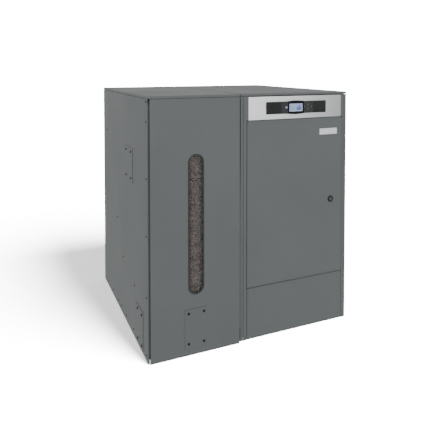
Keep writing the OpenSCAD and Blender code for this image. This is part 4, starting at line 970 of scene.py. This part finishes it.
def keys():
    """Round keys with a raised rim; the power key has a dot, the others an arrow."""
    # The arrow's outline as shares of the key's radius; it points left before its turn
    arrow = ((0.28, 0.44), (0.1, 0.44), (-0.34, 0.0), (0.1, -0.44), (0.28, -0.44), (-0.12, 0.0))
    for node, finish, turn in (("key_power", "key_light", None), ("key_back", "key_dark", 180),
                               ("key_up", "key_dark", 90), ("key_down", "key_dark", -90),
                               ("key_next", "key_dark", 0)):
        low, high = span(node)
        x, z = middle(low, high)
        y, r, depth = low.y, (high.x - low.x) / 2, high.y - low.y
        piece = Piece()
        dome = [(0, 0.55), (r * 0.55, 0.35), (r * 0.82, 0.1), (r * 0.96, 0.35), (r, 0.8), (r, depth), (0, depth)]
        piece.add(turned(dome, (x, y, z), sides=40, closed=False), finish)
        if turn is None:
            dot = [(0, -0.1), (r * 0.42, 0.0), (r * 0.46, 0.3), (0, 0.6)]
            piece.add(turned(dot, (x, y + 0.15, z), sides=32, closed=False), "mark")
        else:
            c, s = math.cos(math.radians(turn)), math.sin(math.radians(turn))
            outline = [(r * (a * c - b * s), r * (a * s + b * c)) for a, b in arrow]
            piece.add(front_slab(outline, x, z, y + 0.05, 0.5), "mark")
        piece.stand_for(node, node + "_cap", 40)


class BOILER_OT_controls(bpy.types.Operator):
    """The brushed bezel, the control strip, its display and its keys"""

    bl_idname = "boiler.controls"
    bl_label = "Control panel"

    def execute(self, context):
        dressed("control_bezel", "bezel", 0.6, 2)
        strip()
        display()
        keys()
        return {"FINISHED"}


class BOILER_OT_fasteners(bpy.types.Operator):
    """The casing's screws and the service plates' screws"""

    bl_idname = "boiler.fasteners"
    bl_label = "Screws"

    def execute(self, context):
        plate = 2.0
        piece = Piece()
        for low, high in solids("casing_screws"):
            mid, size = (low + high) / 2, high - low
            on_plate = sorted(size)[1] > 10  # A plate screw's head is the wider one
            seat = -plate if on_plate else 0.0
            if abs(size.y - size.z) < 0.2:
                place, end, direction = (seat, mid.y, mid.z), (high.x, mid.y, mid.z), (-1, 0, 0)
                radius, height = size.y / 2, seat - low.x
            else:
                place, end, direction = (mid.x, seat, mid.z), (mid.x, high.y, mid.z), (0, -1, 0)
                radius, height = size.x / 2, seat - low.y
            hex_screw(piece, place, direction, radius, height)
            piece.add(rod(place, end, 2.4 if on_plate else 1.6, 12), "steel")
        piece.stand_for("casing_screws", "casing_screw_heads")
        return {"FINISHED"}


class BOILER_OT_lock(bpy.types.Operator):
    """The door lock's ring and its core"""

    bl_idname = "boiler.lock"
    bl_label = "Door lock"

    def execute(self, context):
        low, high = span("lock_ring")
        x, z = middle(low, high)
        radius, bore, neck = (high.x - low.x) / 2, 9.05, 2.8
        seat = span("door_badge")[1].y
        proud, depth = seat - low.y, high.y - seat
        profile = [(bore, depth), (bore, -proud + 0.9), (bore + 0.5, -proud + 0.2), (bore + 1.3, -proud),
                   (radius - 3.4, -proud), (radius - 2.2, -proud + 0.45), (radius - 1.2, -proud + 1.8),
                   (radius - 0.2, -0.3), (radius, 0.0), (bore + neck, 0.0), (bore + neck, depth)]
        ring, core = turned(profile, (x, seat, z), sides=64), soft_node("lock_core", 50, 0.35, 2)
        Piece().add(ring, "knob").stand_for("lock_ring", "lock_rosette", 50)
        Piece().add(core, "core").stand_for("lock_core", "lock_cylinder")
        return {"FINISHED"}


def grommets(spigot, skin):
    """Rubber rings that close the back panel's holes round the sockets and the flue."""
    rings = [spigot] + [(*middle(low, high), (high.x - low.x) / 2) for low, high in solids("water_sockets")]
    gap, lip = 3.5, 3.0
    piece = Piece()
    for x, z, inner in rings:
        inner, hole = inner + 0.15, inner + gap
        profile = [(inner, -4), (hole + 2, -4), (hole + lip, -3.2), (hole + lip, -SHEET - 0.1),
                   (hole - 0.2, -SHEET - 0.1), (hole - 0.2, 0.1), (hole + lip, 0.1), (hole + lip, 1.6),
                   (hole + 1.5, 2.8), (inner, 2.8)]
        piece.add(turned(profile, (x, skin, z)), "rubber")
    piece.done("panel_grommets", BODY_OF["boiler_back_panel"], slot="rubber_trim")


def feet():
    """Round rubber-soled feet on threaded stems with a lock nut."""
    places = dict.fromkeys((round((low.x + high.x) / 2, 2), round((low.y + high.y) / 2, 2))
                           for low, high in solids("levelling_feet") if low.z < 1)
    top, pitch, sole_h = span("hopper_base")[0].z, 1.6, 8
    sole = [(0, 0), (19.0, 0), (20, 0.8), (20, 3.2), (19.4, 3.8), (18.2, 4.2), (17.6, 5.0), (16.8, 6.4),
            (13, 7.4), (9, sole_h), (0, sole_h)]
    thread = [(0, sole_h)]
    for i in range(9):
        thread += [(5.4, sole_h + i * pitch + 0.3), (6.0, sole_h + i * pitch + 0.9)]
    thread = [p for p in thread if p[1] <= top] + [(5.4, top), (0, top)]
    up = (0, 0, 1)
    nut_foot, nut_top, nut_r = 9.0, 14.5, 9.6
    piece = Piece()
    for x, y in places:
        piece.add(turned(sole, (x, y, 0), up, closed=False), "black")
        piece.add(turned(thread, (x, y, 0), up, 24, closed=False), "steel")
        piece.add(rod((x, y, nut_foot), (x, y, nut_top), nut_r, 6, 0.5), "steel")
    piece.stand_for("levelling_feet", "foot_set")


def gland(skin):
    """A cable gland with a ribbed dome nut."""
    low, high = span("cable_gland")
    x, z = middle(low, high)
    bore, rib = 6.0, 12.6
    out, inside = high.y - skin, low.y - skin
    piece = Piece()
    body = [(bore, inside), (bore, out), (8.2, out), (9.2, out - 1.2), (11.4, out - 5), (12.4, out - 9),
            (12.8, out - 12), (12.8, 0.6), (10, 0), (10, inside)]
    piece.add(turned(body, (x, skin, z)), "black")
    piece.add(rod((x, skin + 0.2, z), (x, skin + 7.5, z), 14, 6, 0.8), "black")
    for i in range(16):
        turn = math.tau * i / 16
        dx, dz = rib * math.cos(turn), rib * math.sin(turn)
        piece.add(rod((x + dx, skin + 8, z + dz), (x + dx * 0.86, skin + out - 5, z + dz * 0.86), 1.0, 8), "black")
    piece.stand_for("cable_gland", "gland_nut")


def flue(spigot, end):
    """The fan housing and its spigot, with two flat bands round it."""
    x, z, radius = spigot
    band = [(radius - 0.3, -2.2), (radius, -1.6), (radius, 0), (radius, 1.6), (radius - 0.3, 2.2)]
    piece = Piece()
    piece.add(soft_node("flue_fan_housing", 50, 0.5, 2), "stainless")
    for from_end in (12, 52):
        piece.add(turned(band, (x, end - from_end, z), sides=64), "stainless")
    piece.stand_for("flue_fan_housing", "flue_fan_case")


class BOILER_OT_fittings(bpy.types.Operator):
    """Feet, hinges, gland, sockets and the flue"""

    bl_idname = "boiler.fittings"
    bl_label = "Fittings"

    def execute(self, context):
        skin = span("boiler_back_panel")[1].y
        low, high = span("flue_fan_housing")
        # The spigot's X, its Z and its radius
        spigot = high.x - 80, (low.z + high.z) / 2, 62.5
        feet()
        dressed("lid_hinges", "steel", 0.3, 1)
        dressed("door_hinge_pins", "dark_coat", 0.3, 1)
        gland(skin)
        flue(spigot, high.y)
        dressed("water_sockets", "steel", 0.5, 2)
        grommets(spigot, skin)
        return {"FINISHED"}


def electronics():
    """The electronics tray with relays, a row of terminals and a transformer."""
    low, high = span("electronics_box")
    x0, y0, x1, y1 = low.x, low.y, high.x, high.y
    z0 = low.z + SHEET
    seat, terminal = z0 + 2.6, z0 + 14
    relays, relay_pitch, terminals, terminal_pitch = 6, 42, 14, 18
    piece = Piece()
    piece.add(soft_node("electronics_box", 50, 0.4, 1), "zinc")
    piece.add(block((x0 + 31, y0 + 37, z0 + 2.4), (x1 - 151, y1 - 41, z0 + 2.7)), "board")
    for i in range(relays):
        x = x0 + 45 + i * relay_pitch
        piece.add(block((x - 0.4, y0 + 55.6, seat), (x + 28.4, y0 + 80.4, z0 + 23), 0.8), "part_cream")
    for i in range(terminals):
        x = x0 + 42 + i * terminal_pitch
        piece.add(block((x, y1 - 62, seat), (x + 15, y1 - 48, terminal), 0.6), "key_light")
        piece.add(rod((x + 7.5, y1 - 55, terminal), (x + 7.5, y1 - 55, terminal + 0.8), 3.2, 16), "steel")
    piece.add(block((x1 - 104, y0 + 52, z0 + 4), (x1 - 36, y0 + 120, z0 + 55.5), 1.2), "plate")
    piece.add(block((x1 - 96, y0 + 44, z0 + 12), (x1 - 44, y0 + 128, z0 + 47), 6, 4), "copper")
    piece.stand_for("electronics_box", "electronics_tray")


def board():
    """The display board with its chips."""
    low, high = span("control_board")
    laminate, chips = 1.5, 26
    piece = Piece()
    piece.add(node_part("control_board"), "board")
    chance = random.Random(3)
    for _ in range(chips):
        x, z = chance.uniform(low.x + 8, high.x - 14), chance.uniform(low.z + 6, high.z - 12)
        w, h = chance.choice(((3, 1.6), (6, 5), (9, 9), (4, 2)))
        piece.add(block((x, low.y + laminate, z), (x + w, low.y + 3.2, z + h), 0.2, 1), "black")
    piece.stand_for("control_board", "display_board")


class BOILER_OT_inside(bpy.types.Operator):
    """The working parts: bin, auger, burner, heat exchanger, drawer and electronics"""

    bl_idname = "boiler.inside"
    bl_label = "Working parts"

    def execute(self, context):
        for node, width in (("hopper_bin", 0.4), ("auger_tube", 0.5), ("boiler_base", 0.5), ("hopper_base", 0.5),
                            ("boiler_shell", 0.6), ("firebox", 0.6), ("smokebox_lid", 0.8), ("body_stand", 0.5),
                            ("burner_body", 0.5), ("ash_tray", 0.4), ("front_rails", 0.4),
                            ("burner_impeller", 0.3), ("flue_fan_impeller", 0.3), ("smoke_tubes", 0.4),
                            ("cleaning_shaft", 0.4), ("insulation_jacket", 1.5), ("lid_gasket", 1.0)):
            dressed(node, SLOT_PAINT[SLOT_OF[node]], width, 1 if width < 0.5 else 2)
        for node in ("auger_gearmotor", "cleaning_gearmotor"):
            dressed(node, "motor", 1.2, 3)
        Piece().add(node_part("feed_hose"), "hose").stand_for("feed_hose", "ribbed_hose", 50)
        electronics()
        board()
        return {"FINISHED"}


def floor_finish(bounce):
    """A pale floor that its own light exposes to white; to the cabinet it gives an even, dimmer light."""
    made, tree, ends = blank_material("pale_floor")
    ends["Roughness"].default_value = 1.0
    ends["Specular IOR Level"].default_value = 0.0
    ends["Emission Strength"].default_value = 1.0
    cloud = noise(tree, object_place(tree), 1.5, 3.0)
    tone = mix_colour(tree, ramp(tree, cloud, 0.3, 0.7), rgb(0.94, 0.94, 0.94), rgb(0.97, 0.97, 0.97))
    seen = add(tree, "LightPath").outputs["Is Camera Ray"]
    tree.links.new(mix_colour(tree, seen, rgb(0, 0, 0), tone), ends["Base Color"])
    glow = mix_colour(tree, seen, rgb(bounce, bounce, bounce), rgb(0.72, 0.72, 0.72))
    tree.links.new(glow, ends["Emission Color"])
    return made


def sun(name, strength, spread, direction, only=None):
    """A distant soft light; one made for a single object lights nothing else."""
    data = bpy.data.lights.new(name, "SUN")
    data.energy = strength
    data.angle = math.radians(spread)
    made = linked(name, data)
    made.rotation_euler = Vector(direction).to_track_quat("-Z", "Y").to_euler()
    if only:
        lit = bpy.data.collections.new(name + "_receives")
        lit.objects.link(only)
        made.light_linking.receiver_collection = lit


def surround(scene, look):
    """A white surround that dims overhead, exposed to full white where the camera sees it."""
    world = bpy.data.worlds.new("studio")
    world.use_nodes = True
    tree = world.node_tree
    back = tree.nodes["Background"].inputs
    back["Color"].default_value = rgb(1, 1, 1)
    seen = add(tree, "LightPath").outputs["Is Camera Ray"]
    height = add(tree, "SeparateXYZ", Vector=add(tree, "TexCoord").outputs["Generated"]).outputs[2]
    level = ramp(tree, height, 0.0, 1.0, look.fill, look.overhead)
    tree.links.new(total(tree, level, product(tree, seen, 20.0)), back["Strength"])
    scene.world = world


def camera(scene, look):
    """The camera at the photograph's angle."""
    data = bpy.data.cameras.new("camera")
    data.lens = look.lens
    data.sensor_width = 36.0
    data.shift_y = look.drop
    data.clip_end = 100.0
    made = linked("camera", data)
    made.location = look.eye
    made.rotation_euler = (math.radians(90) - look.tilt, 0.0, -look.turn)
    scene.camera = made


class BOILER_OT_stage(bpy.types.Operator):
    """The floor, the soft lights and the camera"""

    bl_idname = "boiler.stage"
    bl_label = "Stage"

    def execute(self, context):
        look = context.scene.boiler_stage
        part = bmesh.new()
        bmesh.ops.create_grid(part, x_segments=1, y_segments=1, size=30.0)
        floor = linked("floor", held_mesh("floor", part))
        floor.data.materials.append(floor_finish(look.bounce))
        # Each light's strength, its spread in degrees, its direction and the one object that it lights
        sun("sweep_light", 80.0, 37, (-0.6, 0.95, -1.0), floor)
        sun("key_light", look.key, 50, (0.25, 0.95, -0.3))
        sun("card_light", look.key * 0.45, 36, (-0.5, 0.85, -0.2))
        surround(context.scene, look)
        camera(context.scene, look)
        return {"FINISHED"}


OPERATORS = (BOILER_OT_materials, BOILER_OT_casing, BOILER_OT_front, BOILER_OT_window, BOILER_OT_pellets,
             BOILER_OT_controls, BOILER_OT_fasteners, BOILER_OT_lock, BOILER_OT_fittings, BOILER_OT_inside,
             BOILER_OT_stage)
SETTINGS = (("boiler_casing", CasingLook), ("boiler_control", ControlLook), ("boiler_pellets", PelletLook),
            ("boiler_stage", StageLook))


class BOILER_PT_panel(bpy.types.Panel):
    """The boiler's settings and pieces"""

    bl_idname = "BOILER_PT_panel"
    bl_label = "Pellet boiler"
    bl_space_type = "VIEW_3D"
    bl_region_type = "UI"
    bl_category = "Pellet boiler"

    def draw(self, context):
        for name, kind in SETTINGS:
            box = self.layout.box()
            for field in kind.__annotations__:
                box.prop(getattr(context.scene, name), field)
        for operator in OPERATORS:
            self.layout.operator(operator.bl_idname)


def register():
    """Registers the settings, the operators and the panel."""
    for name, kind in SETTINGS:
        bpy.utils.register_class(kind)
        setattr(bpy.types.Scene, name, PointerProperty(type=kind))
    for kind in (*OPERATORS, BOILER_PT_panel):
        bpy.utils.register_class(kind)


def unregister():
    """Takes them away again."""
    for kind in (BOILER_PT_panel, *reversed(OPERATORS)):
        bpy.utils.unregister_class(kind)
    for name, kind in reversed(SETTINGS):
        delattr(bpy.types.Scene, name)
        bpy.utils.unregister_class(kind)


def main():
    """Builds the whole scene."""
    register()
    for operator in OPERATORS:
        group, name = operator.bl_idname.split(".")
        getattr(getattr(bpy.ops, group), name)()


if __name__ == "__main__":
    main()
